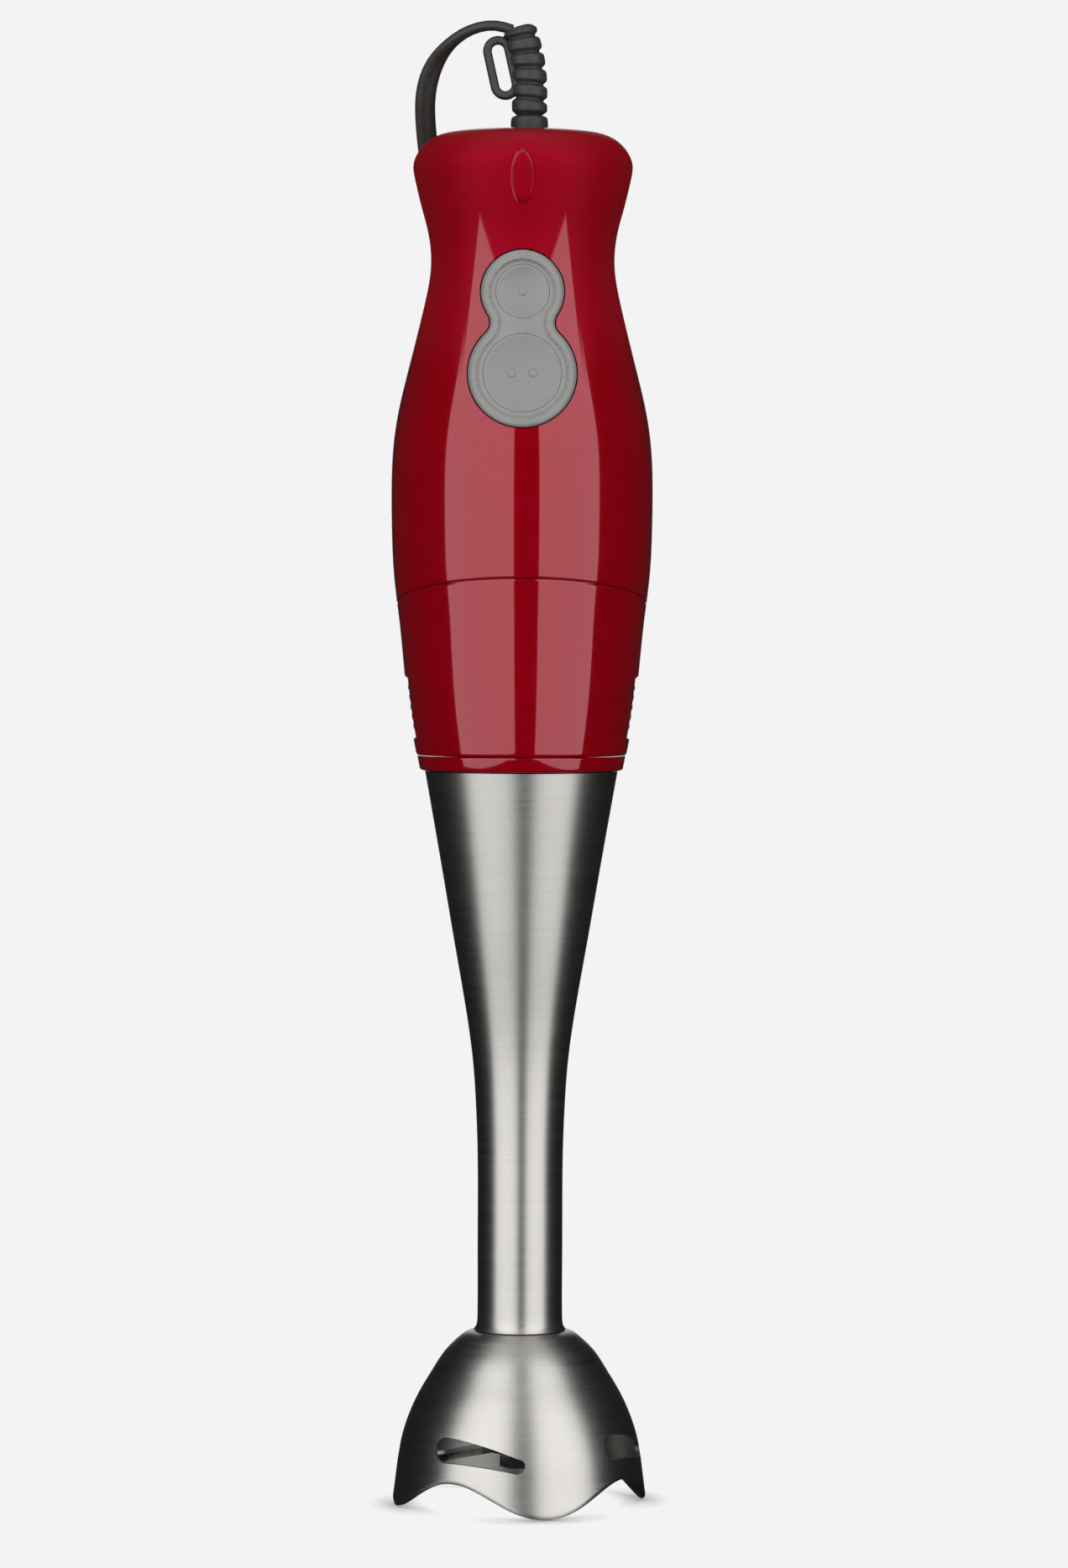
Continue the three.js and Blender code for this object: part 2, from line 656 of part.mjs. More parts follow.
function brushes() {
  const z = commutatorZ + commutatorLength / 2;
  const half = brushWidth / 2;
  const outer = motorScrewX - motorScrewRadius - gap;
  for (const [name, side] of [['left', -1], ['right', 1]]) {
    const tip = commutatorRadius + gap;
    const sleeve = block(tip + 2, outer, -half - 1.3, half + 1.3, z - half - 1.3, z + half + 1.3);
    const bore = block(tip, outer - 1.2, -half - gap, half + gap, z - half - gap, z + half + gap);
    const brush = block(tip, outer - 3.5, -half, half, z - half, z + half);
    const placed = (solid) => (side > 0 ? solid : turnedAbout(solid, 180));
    piece(handle, `brush_holder_${name}`, placed(sleeve.subtract(bore)), brass);
    piece(handle, `carbon_brush_${name}`, placed(brush), carbon);
  }
}

// cross shape shared by the drive coupler and the cup it sits in
function couplerShape(grow) {
  const shape = new THREE.Shape();
  const steps = 24;
  for (let i = 0; i < steps; i += 1) {
    const angle = (2 * Math.PI * i) / steps;
    const r = couplerRadius - 0.8 + 0.8 * Math.cos(6 * angle) + grow;
    const [x, y] = [r * Math.cos(angle), r * Math.sin(angle)];
    if (i === 0) shape.moveTo(x, y);
    else shape.lineTo(x, y);
  }
  return shape;
}

const couplerTop = socketPlateZ;
const couplerBottom = couplerTop - couplerLength;

function rotorPieces() {
  const bore = shaftRadius + gap;
  piece(rotor, 'motor_shaft', ring(0, shaftRadius, couplerBottom + 1, shaftTop, 16), polishedSteel);
  const coupler = prism(couplerShape(0), couplerBottom, couplerTop).subtract(
    ring(0, bore, couplerBottom - 1, couplerTop + 1, 16),
  );
  piece(rotor, 'drive_coupler', coupler, darkPlastic);
  const disc = ring(bore, fanRadius, fanZ, fanZ + 1.4, 28).add(ring(bore, 5, fanZ, fanZ + fanHeight, 16));
  const vane = block(4.5, fanRadius - 0.3, -0.6, 0.6, fanZ + 0.5, fanZ + fanHeight);
  const vanes = Array.from({ length: fanVanes }, (_, i) => turnedAbout(vane, (360 * i) / fanVanes));
  piece(rotor, 'cooling_fan', disc.add(joined(vanes)), darkPlastic);
  const core = ring(bore, armatureRadius, stackZ, stackTop, 24);
  const slot = block(armatureRadius - 2.5, armatureRadius + 1, -0.7, 0.7, stackZ - 1, stackTop + 1);
  const slots = Array.from({ length: 12 }, (_, i) => turnedAbout(slot, 30 * i + 15));
  piece(rotor, 'armature_core', core.subtract(joined(slots)), laminatedIron);
  const winding = (low, high) =>
    turned([[4, low], [11, low], [13, low + 1.5], [13, high - 1.5], [11, high], [4, high]], 16);
  piece(rotor, 'lower_winding', winding(lowerWindingZ + 0.2, stackZ - gap), copper);
  piece(rotor, 'upper_winding', winding(stackTop + gap, commutatorZ - gap), copper);
  const bars = ring(bore, commutatorRadius, commutatorZ, commutatorZ + commutatorLength, 24);
  const cut = block(commutatorRadius - 0.8, commutatorRadius + 1, -0.3, 0.3, 0, top);
  const cuts = Array.from({ length: 12 }, (_, i) => turnedAbout(cut, 30 * i));
  piece(rotor, 'commutator', bars.subtract(joined(cuts)), copper);
}

// ---------------------------------------------------------------- detachable leg
const tubeStations = [
  [tubeStemRadius, tubeBottom],
  [tubeStemRadius, tubeBottom + 20],
  [tubeStemRadius, tubeBottom + 42],
  [tubeStemRadius + 0.45, tubeBottom + 56],
  [tubeStemRadius + 1.3, tubeTop - 73],
  [tubeMouthRadius - 9.4, tubeTop - 54],
  [tubeMouthRadius - 5.6, tubeTop - 32],
  [tubeMouthRadius - 1.9, tubeTop - 10.3],
  [tubeMouthRadius, tubeTop],
];
const tubeOutline = smoothOutline(tubeStations, 12);

function legCollar() {
  const hubRadius = bushingRadius + 2.2;
  const hubBottom = tubeTop - 12;
  const flange = turned(
    [
      [bushingRadius + gap, collarBottom],
      [collarRadius - collarChamfer, collarBottom],
      [collarRadius - 0.3, collarBottom + 1.2],
      [collarRadius, collarTop],
      [bushingRadius + gap, collarTop],
    ],
    32,
  );
  const spigot = ring(spigotRadius - spigotWall, spigotRadius, collarTop - 1, spigotTop, 24);
  const hub = ring(bushingRadius + gap, hubRadius, hubBottom, collarTop, 16);
  piece(leg, 'leg_collar', flange.add(spigot).add(hub), redPlastic);
  const bushing = ring(driveShaftRadius + runningGap, bushingRadius, hubBottom + 1, collarTop - 0.5, 20);
  piece(leg, 'upper_bushing', bushing, brass);
}

function legTube() {
  const inner = tubeOutline.map(([r, z]) => [r - tubeWall, z]).reverse();
  piece(leg, 'leg_tube', turned([...tubeOutline, ...inner], 24), brushedSteel);
}

const bellStations = [
  [bellRadius, 0],
  [bellRadius, 2.6],
  [bellRadius - 0.9, 7.7],
  [bellRadius - 1.7, 12.9],
  [bellRadius - 2.8, 18],
  [bellRadius - 4.6, 23.2],
  [bellRadius - 7, 28.3],
  [bellRadius - 10.1, 33.5],
  [(bellRadius + bellNeckRadius) / 2 - 3.7, bellHeight - 5.4],
  [bellNeckRadius + 2.8, bellHeight - 2],
  [bellNeckRadius, bellHeight],
];

function bladeGuard() {
  const outline = smoothOutline(bellStations, 9);
  const inner = outline.filter(([, z]) => z < bellHeight - 4).map(([r, z]) => [r - bellWall, Math.max(z, 0)]);
  const roof = bellHeight - bellWall;
  const outer = outline.map(([r, z]) => [r, Math.max(z, 0)]);
  const shell = turned([...outer, [tubeBore, bellHeight], [tubeBore, roof], ...inner.reverse()], 36);
  const arch = prismAlongY(archShape(), -far, -10);
  const arches = [0, 90, 180, 270].map((turn) => turnedAbout(arch, footAzimuth + 45 + turn));
  const slot = prismAlongY(slotShape(), -far, -10, 4);
  const slots = [0, 90, 180, 270].map((turn) => turnedAbout(slot, slotAzimuth + turn));
  piece(leg, 'blade_guard', shell.subtract(joined(arches)).subtract(joined(slots)), brushedSteel);
}

// a half wave, as high as archHeight in the middle and falling to the floor at both feet
function archShape() {
  const steps = 10;
  const shape = new THREE.Shape();
  shape.moveTo(archHalfWidth, -5);
  for (let i = 0; i <= steps; i += 1) {
    const share = 1 - (2 * i) / steps;
    shape.lineTo(archHalfWidth * share, archHeight * Math.cos((Math.PI / 2) * share) ** 1.3 - 0.01);
  }
  shape.lineTo(-archHalfWidth, -5);
  return shape;
}

// tapered slot with round ends, bowed upwards
function slotShape() {
  const left = -slotHalfLength + slotWideEnd;
  const right = slotHalfLength - slotNarrowEnd;
  const middle = (slotWideZ + slotNarrowZ) / 2 + slotBow;
  const half = (slotWideEnd + slotNarrowEnd) / 2;
  const shape = new THREE.Shape();
  shape.absarc(left, slotWideZ, slotWideEnd, Math.PI / 2, 1.5 * Math.PI, false);
  shape.quadraticCurveTo(0, middle - half, right, slotNarrowZ - slotNarrowEnd);
  shape.absarc(right, slotNarrowZ, slotNarrowEnd, -Math.PI / 2, Math.PI / 2, false);
  shape.quadraticCurveTo(0, middle + half + 0.6, left, slotWideZ + slotWideEnd);
  return shape;
}

const carrierBottom = bellHeight - 14;

function lowerBearingGroup() {
  const carrierTop = tubeBottom + 14;
  const stem = ring(bushingRadius + gap, tubeBore - gap, bellHeight - 4, carrierTop, 24);
  const foot = ring(bushingRadius + gap, tubeBore + 0.9, carrierBottom, bellHeight - bellWall - 3 * gap, 16);
  piece(leg, 'lower_carrier', stem.add(foot), darkPlastic);
  const bore = driveShaftRadius + runningGap;
  piece(leg, 'lower_bushing', ring(bore, bushingRadius, carrierBottom + 6, carrierTop - 1, 20), brass);
  const seal = ring(bore, bushingRadius, carrierBottom + 0.5, carrierBottom + 5.5, 20);
  piece(leg, 'shaft_seal', seal, blackRubber);
}

// ---------------------------------------------------------------- blade drive
function bladeDrivePieces() {
  const cupBottom = couplerTop - cupLength;
  const shaftEnd = bladeZ - 4;
  const shoulderTop = carrierBottom - 1;
  const shoulderBottom = bladeZ + bladeThickness + gap;
  const shaft = ring(0, driveShaftRadius, shaftEnd, cupBottom + 4, 16);
  const shoulder = ring(0, driveShaftRadius + 1.6, shoulderBottom, shoulderTop, 16);
  piece(bladeDrive, 'drive_shaft', shaft.add(shoulder), polishedSteel);
  const outer = ring(0, cupRadius, cupBottom, couplerTop - 0.5, 24);
  const recess = prism(couplerShape(gap + 0.2), cupBottom + 5, couplerTop + 1);
  const hole = ring(0, driveShaftRadius + gap, cupBottom - 1, cupBottom + 6, 16);
  piece(bladeDrive, 'coupler_cup', outer.subtract(recess).subtract(hole), darkPlastic);
  piece(bladeDrive, 'blade', bladeSolid(), polishedSteel);
  const nutShape = new THREE.Shape();
  for (let i = 0; i < 6; i += 1) {
    const angle = (Math.PI * i) / 3;
    const [x, y] = [nutRadius * Math.cos(angle), nutRadius * Math.sin(angle)];
    if (i === 0) nutShape.moveTo(x, y);
    else nutShape.lineTo(x, y);
  }
  const nutHole = ring(0, driveShaftRadius + gap, 0, bladeZ, 16);
  const nut = prism(nutShape, shaftEnd - 0.1, bladeZ - gap).subtract(nutHole);
  piece(bladeDrive, 'blade_nut', nut, polishedSteel);
}

// two swept wings, one bent up and one bent down
function bladeSolid() {
  const hub = bladeHub;
  const shape = new THREE.Shape();
  shape.moveTo(hub, -3.6);
  shape.lineTo(bladeReach - 1.5, -4.6);
  shape.quadraticCurveTo(bladeReach, 0, bladeReach - 5, 4);
  shape.lineTo(hub, 4.4);
  const hubRadius = Math.hypot(hub, 4.4);
  const [early, late] = [Math.atan2(4.4, hub), Math.atan2(3.6, hub)];
  shape.absarc(0, 0, hubRadius, early, Math.PI - late, false);
  shape.lineTo(-hub, 3.6);
  shape.lineTo(-bladeReach + 1.5, 4.6);
  shape.quadraticCurveTo(-bladeReach, 0, -bladeReach + 5, -4);
  shape.lineTo(-hub, -4.4);
  shape.absarc(0, 0, hubRadius, Math.PI + early, 2 * Math.PI - late, false);
  const options = { depth: bladeThickness, bevelEnabled: false, curveSegments: 6 };
  const geometry = new THREE.ExtrudeGeometry(shape, options).translate(0, 0, bladeZ);
  const points = geometry.attributes.position;
  for (let i = 0; i < points.count; i += 1) {
    const x = points.getX(i);
    const past = Math.sign(x) * Math.max(Math.abs(x) - hub - 1.5, 0);
    points.setZ(i, points.getZ(i) + bladeSlope * past);
  }
  return toSolid(geometry).subtract(ring(0, driveShaftRadius + gap, 0, bladeZ + 10, 16));
}

// ---------------------------------------------------------------- cord guard, cord, hank and plug
function strainRelief() {
  const flangeTop = top - wall - 2 * gap;
  const neck = ring(0, guardNeckRadius, flangeTop - 3, top + 2, 12).translate([guardX, 0, 0]);
  const flange = ring(0, 6, flangeTop - 3.5, flangeTop, 16).translate([guardX, 0, 0]);
  const collar = ring(0, guardRadius, top + gap, top + 4.6, 20).translate([guardX, 0, 0]);
  const spine = new THREE.CatmullRomCurve3([
    new THREE.Vector3(guardX, 0, top + 3),
    new THREE.Vector3(guardX + 0.1, 0, top + 12),
    new THREE.Vector3(guardX - 0.7, 0, top + 17.5),
    new THREE.Vector3(guardX - 2.8, 0, top + 25.5),
  ]);
  const core = tubeAlong(spine, guardCoreRadius, 8, 10);
  const solids = [neck, flange, collar, core];
  for (let i = 0; i < guardRibs; i += 1) {
    const share = (i + 1.2) / (guardRibs + 0.45);
    solids.push(guardRib(spine.getPointAt(share), spine.getTangentAt(share)));
  }
  solids.push(hangLoop());
  piece(lead, 'strain_relief', joined(solids), blackRubber);
}

function guardRib(centre, direction) {
  const r = guardRibRadius;
  const profile = [[0, -1.4], [r - 0.8, -1.4], [r, -0.4], [r, 0.4], [r - 0.8, 1.4], [0, 1.4]];
  const lean = THREE.MathUtils.radToDeg(Math.atan2(direction.x, direction.z));
  return turned(profile, 10).rotate([0, lean, 0]).translate(centre.toArray());
}

function hangLoop() {
  const stadium = (halfWidth, halfLength) => {
    const straight = halfLength - halfWidth;
    const shape = new THREE.Shape();
    shape.absarc(0, straight, halfWidth, 0, Math.PI, false);
    shape.absarc(0, -straight, halfWidth, Math.PI, 2 * Math.PI, false);
    return shape;
  };
  const plate = prismAlongY(stadium(3.8, 8.15), -1.6, 1.6, 6);
  const hole = prismAlongY(stadium(1.6, 5.95), -5, 5, 6);
  return plate.subtract(hole).rotate([0, -13, 0]).translate([guardX - 7, 0, top + 15]);
}

// a round bar that follows a curve
function tubeAlong(curve, radius, steps, sides = 8) {
  const section = new THREE.Shape();
  for (let i = 0; i < sides; i += 1) {
    const angle = (2 * Math.PI * i) / sides;
    const [x, y] = [radius * Math.cos(angle), radius * Math.sin(angle)];
    if (i === 0) section.moveTo(x, y);
    else section.lineTo(x, y);
  }
  const options = { extrudePath: curve, steps, bevelEnabled: false };
  return toSolid(new THREE.ExtrudeGeometry(section, options));
}

// the cord's route from the guard, over and down behind the handle, to the hank on the floor
const cordRoute = [
  [-6.6, 0.2, 377.0], [-12.7, 1.2, 376.3], [-18.4, 3.5, 373.0], [-22.9, 7.0, 367.4],
  [-25.0, 10.5, 360.4], [-25.0, 15.0, 352.0], [-23.8, 20.0, 342.0], [-21.0, 25.8, 330.0],
  [-17.5, 30.8, 315.0], [-15.5, 34.8, 297.0], [-13.8, 37.8, 277.0], [-12.0, 39.8, 255.0],
  [-10.0, 41.2, 230.0], [-8.0, 42.2, 205.0], [-6.0, 42.9, 180.0], [-4.2, 43.4, 155.0],
  [-2.6, 43.8, 130.0], [-1.2, 44.1, 105.0], [-0.2, 44.3, 82.0], [0.5, 44.6, 62.0],
  [1.2, 45.4, 45.0], [2.6, 47.8, 30.0], [5.2, 52.4, 18.0], [9.2, 59.4, 9.5],
  [13.4, 68.0, 5.2], [16.8, 77.0, 3.9], [18.2, 82.0, 3.8],
];

// from the top of the hank into the plug
const plugRoute = [
  [-16.2, 161.0, 14.0], [-13.2, 151.5, 15.0], [-7.5, 142.0, 17.6], [-2.4, 134.0, 18.8],
  [-0.2, 125.6, 19.0],
];

function curveThrough(points) {
  return new THREE.CatmullRomCurve3(points.map((point) => new THREE.Vector3(...point)), false, 'centripetal');
}

const hankCentreNear = hankNearY + hankFoldRadius;
const hankCentreFar = hankCentreNear + hankRun;
const hankTop = hankLift + hankHeight;

function cordPieces() {
  piece(lead, 'power_cord', tubeAlong(curveThrough(cordRoute), cordRadius, 40), blackRubber);
  const outline = new THREE.Shape();
  outline.absarc(0, hankCentreFar, hankFoldRadius, 0, Math.PI, false);
  outline.absarc(0, hankCentreNear, hankFoldRadius, Math.PI, 2 * Math.PI, false);
  piece(lead, 'cord_hank', prism(outline, hankLift, hankTop, 12), blackRubber);
  piece(lead, 'plug_lead', tubeAlong(curveThrough(plugRoute), cordRadius, 12), blackRubber);
  const x = hankFoldRadius + gap;
  const y = tieY;
  const outer = block(-x - tieThickness, x + tieThickness, y, y + tieWidth, 0, hankTop + gap + tieThickness);
  const inner = block(-x, x, y - 1, y + tieWidth + 1, hankLift - gap, hankTop + gap);
  piece(lead, 'cord_tie', outer.subtract(inner), blackRubber);
}

const plugNose = 88;
const plugTail = 124;
const plugZ = 19;
const plugHalfWidth = 12;
const plugShoulder = 16; // from the nose to where the body starts to narrow
const plugTaper = 26; // from the nose to the tail
const plugWaist = 5.5;
const plugTailHalf = 4;
const pinSpacing = 12.7;
const pinLength = 17;
const pinHalfThickness = 0.75;
const pinHalfWidth = 3.2;
const pinSeat = 4.7; // how deep a blade sits in the plug

function plugPieces() {
  const halfHeight = plugZ - hankTop - gap;
  const shape = new THREE.Shape();
  const bulge = (plugHalfWidth + plugWaist) / 2;
  const [shoulderY, bulgeY, taperY] = [plugShoulder, plugShoulder + 4, plugTaper].map((y) => plugNose + y);
  shape.moveTo(-plugHalfWidth, plugNose);
  shape.lineTo(plugHalfWidth, plugNose);
  shape.lineTo(plugHalfWidth, shoulderY);
  shape.quadraticCurveTo(bulge, bulgeY, plugWaist, taperY);
  shape.lineTo(plugTailHalf, plugTail);
  shape.lineTo(-plugTailHalf, plugTail);
  shape.lineTo(-plugWaist, taperY);
  shape.quadraticCurveTo(-bulge, bulgeY, -plugHalfWidth, shoulderY);
  const body = prism(shape, plugZ - halfHeight, plugZ + halfHeight);
  const seat = (x, w, h, front, back) => block(x - w, x + w, front, back, plugZ - h, plugZ + h);
  const [pocketHalf, pocketTall] = [pinHalfThickness + gap, pinHalfWidth + gap];
  const pocket = (x) => seat(x, pocketHalf, pocketTall, plugNose - 1, plugNose + pinSeat + gap);
  const half = pinSpacing / 2;
  piece(lead, 'plug_body', body.subtract(pocket(-half)).subtract(pocket(half)), blackRubber);
  for (const [name, x] of [['plug_blade_left', -half], ['plug_blade_right', half]]) {
    const blade = seat(x, pinHalfThickness, pinHalfWidth, plugNose - pinLength, plugNose + pinSeat);
    piece(lead, name, blade, brass);
  }
}

// ---------------------------------------------------------------- assembly
handleShells();
motorHousing();
shellScrew('shell_screw_upper', screwZ, upperScrewTip);
shellScrew('shell_screw_lower', lowerScrewZ, lowerTowerY - screwPastTower);
panelAndButtons();
switchesAndParts();
releaseButton('release_button_right', 1, yokeRise.right);
releaseButton('release_button_left', -1, yokeRise.left);
couplingSocket();
brackets();
stator();
brushes();
rotorPieces();
legCollar();
legTube();
bladeGuard();
lowerBearingGroup();
bladeDrivePieces();
strainRelief();
cordPieces();
plugPieces();

export default part;
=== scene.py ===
# %% [markdown]
# # An immersion blender, surface by surface
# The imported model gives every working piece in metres: shells, motor, leg, blade and buttons.
# It is faceted, so this lesson rebuilds what the eye sees as smooth surfaces in the same places,
# and leaves the inner pieces as they are, with finishes of their own.

# %% Load the frame
import json
from math import atan2, cos, pi, radians, sin

import bpy
import numpy as np
from mathutils import Matrix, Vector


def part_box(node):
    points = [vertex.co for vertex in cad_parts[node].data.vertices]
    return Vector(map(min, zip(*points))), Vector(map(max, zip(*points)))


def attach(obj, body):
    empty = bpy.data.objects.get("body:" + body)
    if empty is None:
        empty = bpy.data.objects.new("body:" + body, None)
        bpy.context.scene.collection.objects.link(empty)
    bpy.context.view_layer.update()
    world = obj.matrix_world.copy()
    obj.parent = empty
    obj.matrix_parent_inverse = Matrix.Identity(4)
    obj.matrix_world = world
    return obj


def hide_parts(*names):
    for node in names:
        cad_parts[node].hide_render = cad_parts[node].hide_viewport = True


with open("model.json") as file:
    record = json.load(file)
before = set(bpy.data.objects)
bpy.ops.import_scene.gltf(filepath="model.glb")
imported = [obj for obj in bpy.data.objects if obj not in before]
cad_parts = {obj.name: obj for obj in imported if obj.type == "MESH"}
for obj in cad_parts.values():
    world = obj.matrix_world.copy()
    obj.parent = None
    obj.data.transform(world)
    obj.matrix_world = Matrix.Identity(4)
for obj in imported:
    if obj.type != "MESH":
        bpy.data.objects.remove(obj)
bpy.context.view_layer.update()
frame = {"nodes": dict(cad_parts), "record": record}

MM = 0.001  # every shape below is worked out in millimetres


def corners(node):
    """The lowest and highest corner of a node of the frame, in millimetres."""
    low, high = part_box(node)
    return np.array(low) / MM, np.array(high) / MM


def middle(node):
    """The middle of a node's box, in millimetres."""
    return sum(corners(node)) / 2


def place(name, data):
    """A new object in the scene for a mesh, a lamp or a camera."""
    thing = bpy.data.objects.new(name, data)
    bpy.context.scene.collection.objects.link(thing)
    return thing


def stacked(*parts):
    """Points from their coordinates, each an array or one number for all of them."""
    return np.stack(np.broadcast_arrays(*parts), -1)


# %% [markdown]
# ## The camera
# The blender is seen from a little above its middle, with a long lens, so that its sides stay
# almost parallel. The camera comes first because the cord has to stay out of its sight.

# %% Camera
EYE = (0.0031, -1.49, 0.234)
TARGET_Z = 0.184
FRAME_HEIGHT = 0.4007  # metres seen from top to bottom at the drive axis
SENSOR = 36.0
ROLL = radians(-0.17)


def make_camera():
    """A lens long enough that the frame's height fits at the target's distance."""
    data = bpy.data.cameras.new("camera")
    camera = place("camera", data)
    distance = float(np.hypot(EYE[1], EYE[2] - TARGET_Z))
    data.sensor_width = SENSOR
    data.lens = SENSOR * distance / FRAME_HEIGHT
    camera.location = EYE
    tilt = atan2(TARGET_Z - EYE[2], -EYE[1])
    camera.rotation_euler = (pi / 2 + tilt, ROLL, 0)
    bpy.context.scene.camera = camera


make_camera()
print("lens", round(bpy.context.scene.camera.data.lens, 1))

# %% [markdown]
# ## Tools for surfaces
# Each surface is a grid: rows run along a profile and columns run round it. A grid that closes on
# itself both ways, or whose ends are capped, is a solid, and the sign of its volume tells whether
# its faces look outwards.

# %% Grids to meshes
def face_outwards(points, faces):
    """Turns all faces round if the enclosed volume, a sum of corner products, is negative."""
    volume = 0.0
    for face in faces:
        a, b, c = points[face[:, 0]], points[face[:, 1]], points[face[:, 2]]
        volume += np.einsum("ij,ij->", a, np.cross(b, c))
        if face.shape[1] == 4:
            d = points[face[:, 3]]
            volume += np.einsum("ij,ij->", a, np.cross(c, d))
    return faces if volume > 0 else [face[:, ::-1] for face in faces]


def make_mesh(name, points, faces, sharp=35):
    """Puts points, in millimetres, and groups of equal faces into a new smooth object."""
    faces = face_outwards(points, faces)
    mesh = bpy.data.meshes.new(name)
    listed = [face for group in faces for face in group.tolist()]
    mesh.from_pydata((points * MM).tolist(), [], listed)
    mesh.update()
    shade(mesh, sharp)
    piece = place(name, mesh)
    return piece


def shade(mesh, sharp=35):
    """Smooth faces, apart from edges that bend by more than sharp degrees."""
    mesh.polygons.foreach_set("use_smooth", np.ones(len(mesh.polygons), bool))
    mesh.set_sharp_from_angle(angle=radians(sharp))


def quads(rows, columns, wrap_rows, wrap_columns):
    """Corner numbers of a grid's faces, where point (i, j) has the number i * columns + j."""
    i = np.arange(rows if wrap_rows else rows - 1)[:, None]
    j = np.arange(columns if wrap_columns else columns - 1)[None, :]
    i2, j2 = (i + 1) % rows, (j + 1) % columns
    face = [i * columns + j, i * columns + j2, i2 * columns + j2, i2 * columns + j]
    return np.stack([np.broadcast_to(f, (i.size, j.size)) for f in face], -1).reshape(-1, 4)


def solid_of_rings(name, rings, sharp=35):
    """A solid from rings (row, column, xyz): columns close on themselves, and the middle of the
    first and the last ring closes the two ends with a fan."""
    rows, columns = rings.shape[:2]
    points = np.vstack([rings.reshape(-1, 3), rings[0].mean(0), rings[-1].mean(0)])
    i = np.arange(columns)
    j = (i + 1) % columns
    first, top = rows * columns, (rows - 1) * columns
    fans = [stacked(first, j, i), stacked(first + 1, top + i, top + j)]
    return make_mesh(name, points, [quads(rows, columns, False, True), *fans], sharp)


def solid_of_sections(name, sections, wrap, sharp=35):
    """A solid from sections (column, point, xyz), each a closed loop. With wrap the columns
    close round the axis. Without it each end is capped, first half of the loop to second half."""
    columns, count = sections.shape[:2]
    points = sections.reshape(-1, 3)
    faces = [quads(columns, count, wrap, True)]
    if not wrap:
        i = np.arange(count // 2 - 1)
        cap = np.stack([i, i + 1, count - 2 - i, count - 1 - i], -1)
        faces += [cap, (cap + (columns - 1) * count)[:, ::-1]]
    return make_mesh(name, points, faces, sharp)


def turns(count):
    """Angles that divide a full turn evenly."""
    return np.arange(count) * 2 * pi / count


def about_axis(radius, height, azimuth):
    """Points at a radius and height, at an azimuth from the front (-Y) towards the right (+X)."""
    return stacked(radius * np.sin(azimuth), -radius * np.cos(azimuth), height)


def turned(name, profile, columns=160, sharp=35):
    """A closed profile of (radius, height) turned about the drive axis."""
    profile = np.array(profile, float)
    azimuth = turns(columns)[:, None]
    sections = about_axis(profile[None, :, 0], profile[None, :, 1], azimuth)
    return solid_of_sections(name, sections, True, sharp)


# %% [markdown]
# ## Cutting and joining
# Openings with a crisp edge, such as the button panel's, are cut with a Boolean, because a grid
# that followed such an outline would pinch the gloss around it.

# %% Booleans
def combine(piece, tool, operation):
    """Cuts piece with tool, or joins them, and removes the tool."""
    modifier = piece.modifiers.new("cut", "BOOLEAN")
    modifier.operation = operation
    modifier.solver = "EXACT"
    modifier.object = tool
    graph = bpy.context.evaluated_depsgraph_get()
    mesh = bpy.data.meshes.new_from_object(piece.evaluated_get(graph))
    piece.modifiers.clear()
    piece.data = mesh
    shade(mesh)
    bpy.data.objects.remove(tool)
    return piece


def bar(outline, start, end, axis):
    """A prism: an outline of (across, up) points, carried from start to end along y or x."""
    outline = np.array(outline, float)
    across, up = outline.T
    rings = [stacked(across, at, up) if axis == "y" else stacked(at, across, up) for at in (start, end)]
    return solid_of_rings("tool", np.array(rings))


def oval(half_width, half_height, x=0.0, z=0.0, count=96):
    """An ellipse round (x, z)."""
    turn = turns(count)
    return stacked(x + half_width * np.cos(turn), z + half_height * np.sin(turn))


def smooth_curve(stations, count):
    """A cubic spline through the stations, evenly spaced by chord length, straight at its ends."""
    p = np.array(stations, float)
    t = np.concatenate([[0], np.cumsum(np.linalg.norm(np.diff(p, axis=0), axis=1))])
    h = np.diff(t)[:, None]
    system = np.eye(len(p))
    right = np.zeros_like(p)
    for i in range(1, len(p) - 1):
        system[i, i - 1 : i + 2] = h[i - 1, 0], 2 * (h[i - 1, 0] + h[i, 0]), h[i, 0]
        right[i] = 6 * ((p[i + 1] - p[i]) / h[i] - (p[i] - p[i - 1]) / h[i - 1])
    bend = np.linalg.solve(system, right)
    s = np.linspace(0, t[-1], count)
    k = np.clip(np.searchsorted(t, s, "right") - 1, 0, len(p) - 2)
    a = (t[k + 1] - s)[:, None]
    b = (s - t[k])[:, None]
    hk = h[k]
    line = (p[k] / hk - bend[k] * hk / 6) * a + (p[k + 1] / hk - bend[k + 1] * hk / 6) * b
    return line + (bend[k] * a**3 + bend[k + 1] * b**3) / (6 * hk)


def lengths_along(points):
    """How far each point lies along its line."""
    return np.concatenate([[0], np.cumsum(np.linalg.norm(np.diff(points, axis=0), axis=1))])


def directions(line, s):
    """The unit direction at each point of a line."""
    tangent = np.gradient(line, s, axis=0)
    return tangent / np.linalg.norm(tangent, axis=1, keepdims=True)


def soft_step(x):
    """Rises smoothly from 0 to 1 as x goes from 0 to 1."""
    x = np.clip(x, 0, 1)
    return x * x * (3 - 2 * x)


# %% [markdown]
# ## The handle's outline
# The grip swells to a belt, draws in to a waist where the thumb lies, and ends in a rounded crown.
# One spline through a few stations gives the whole outline, from the motor housing's lower rim up.

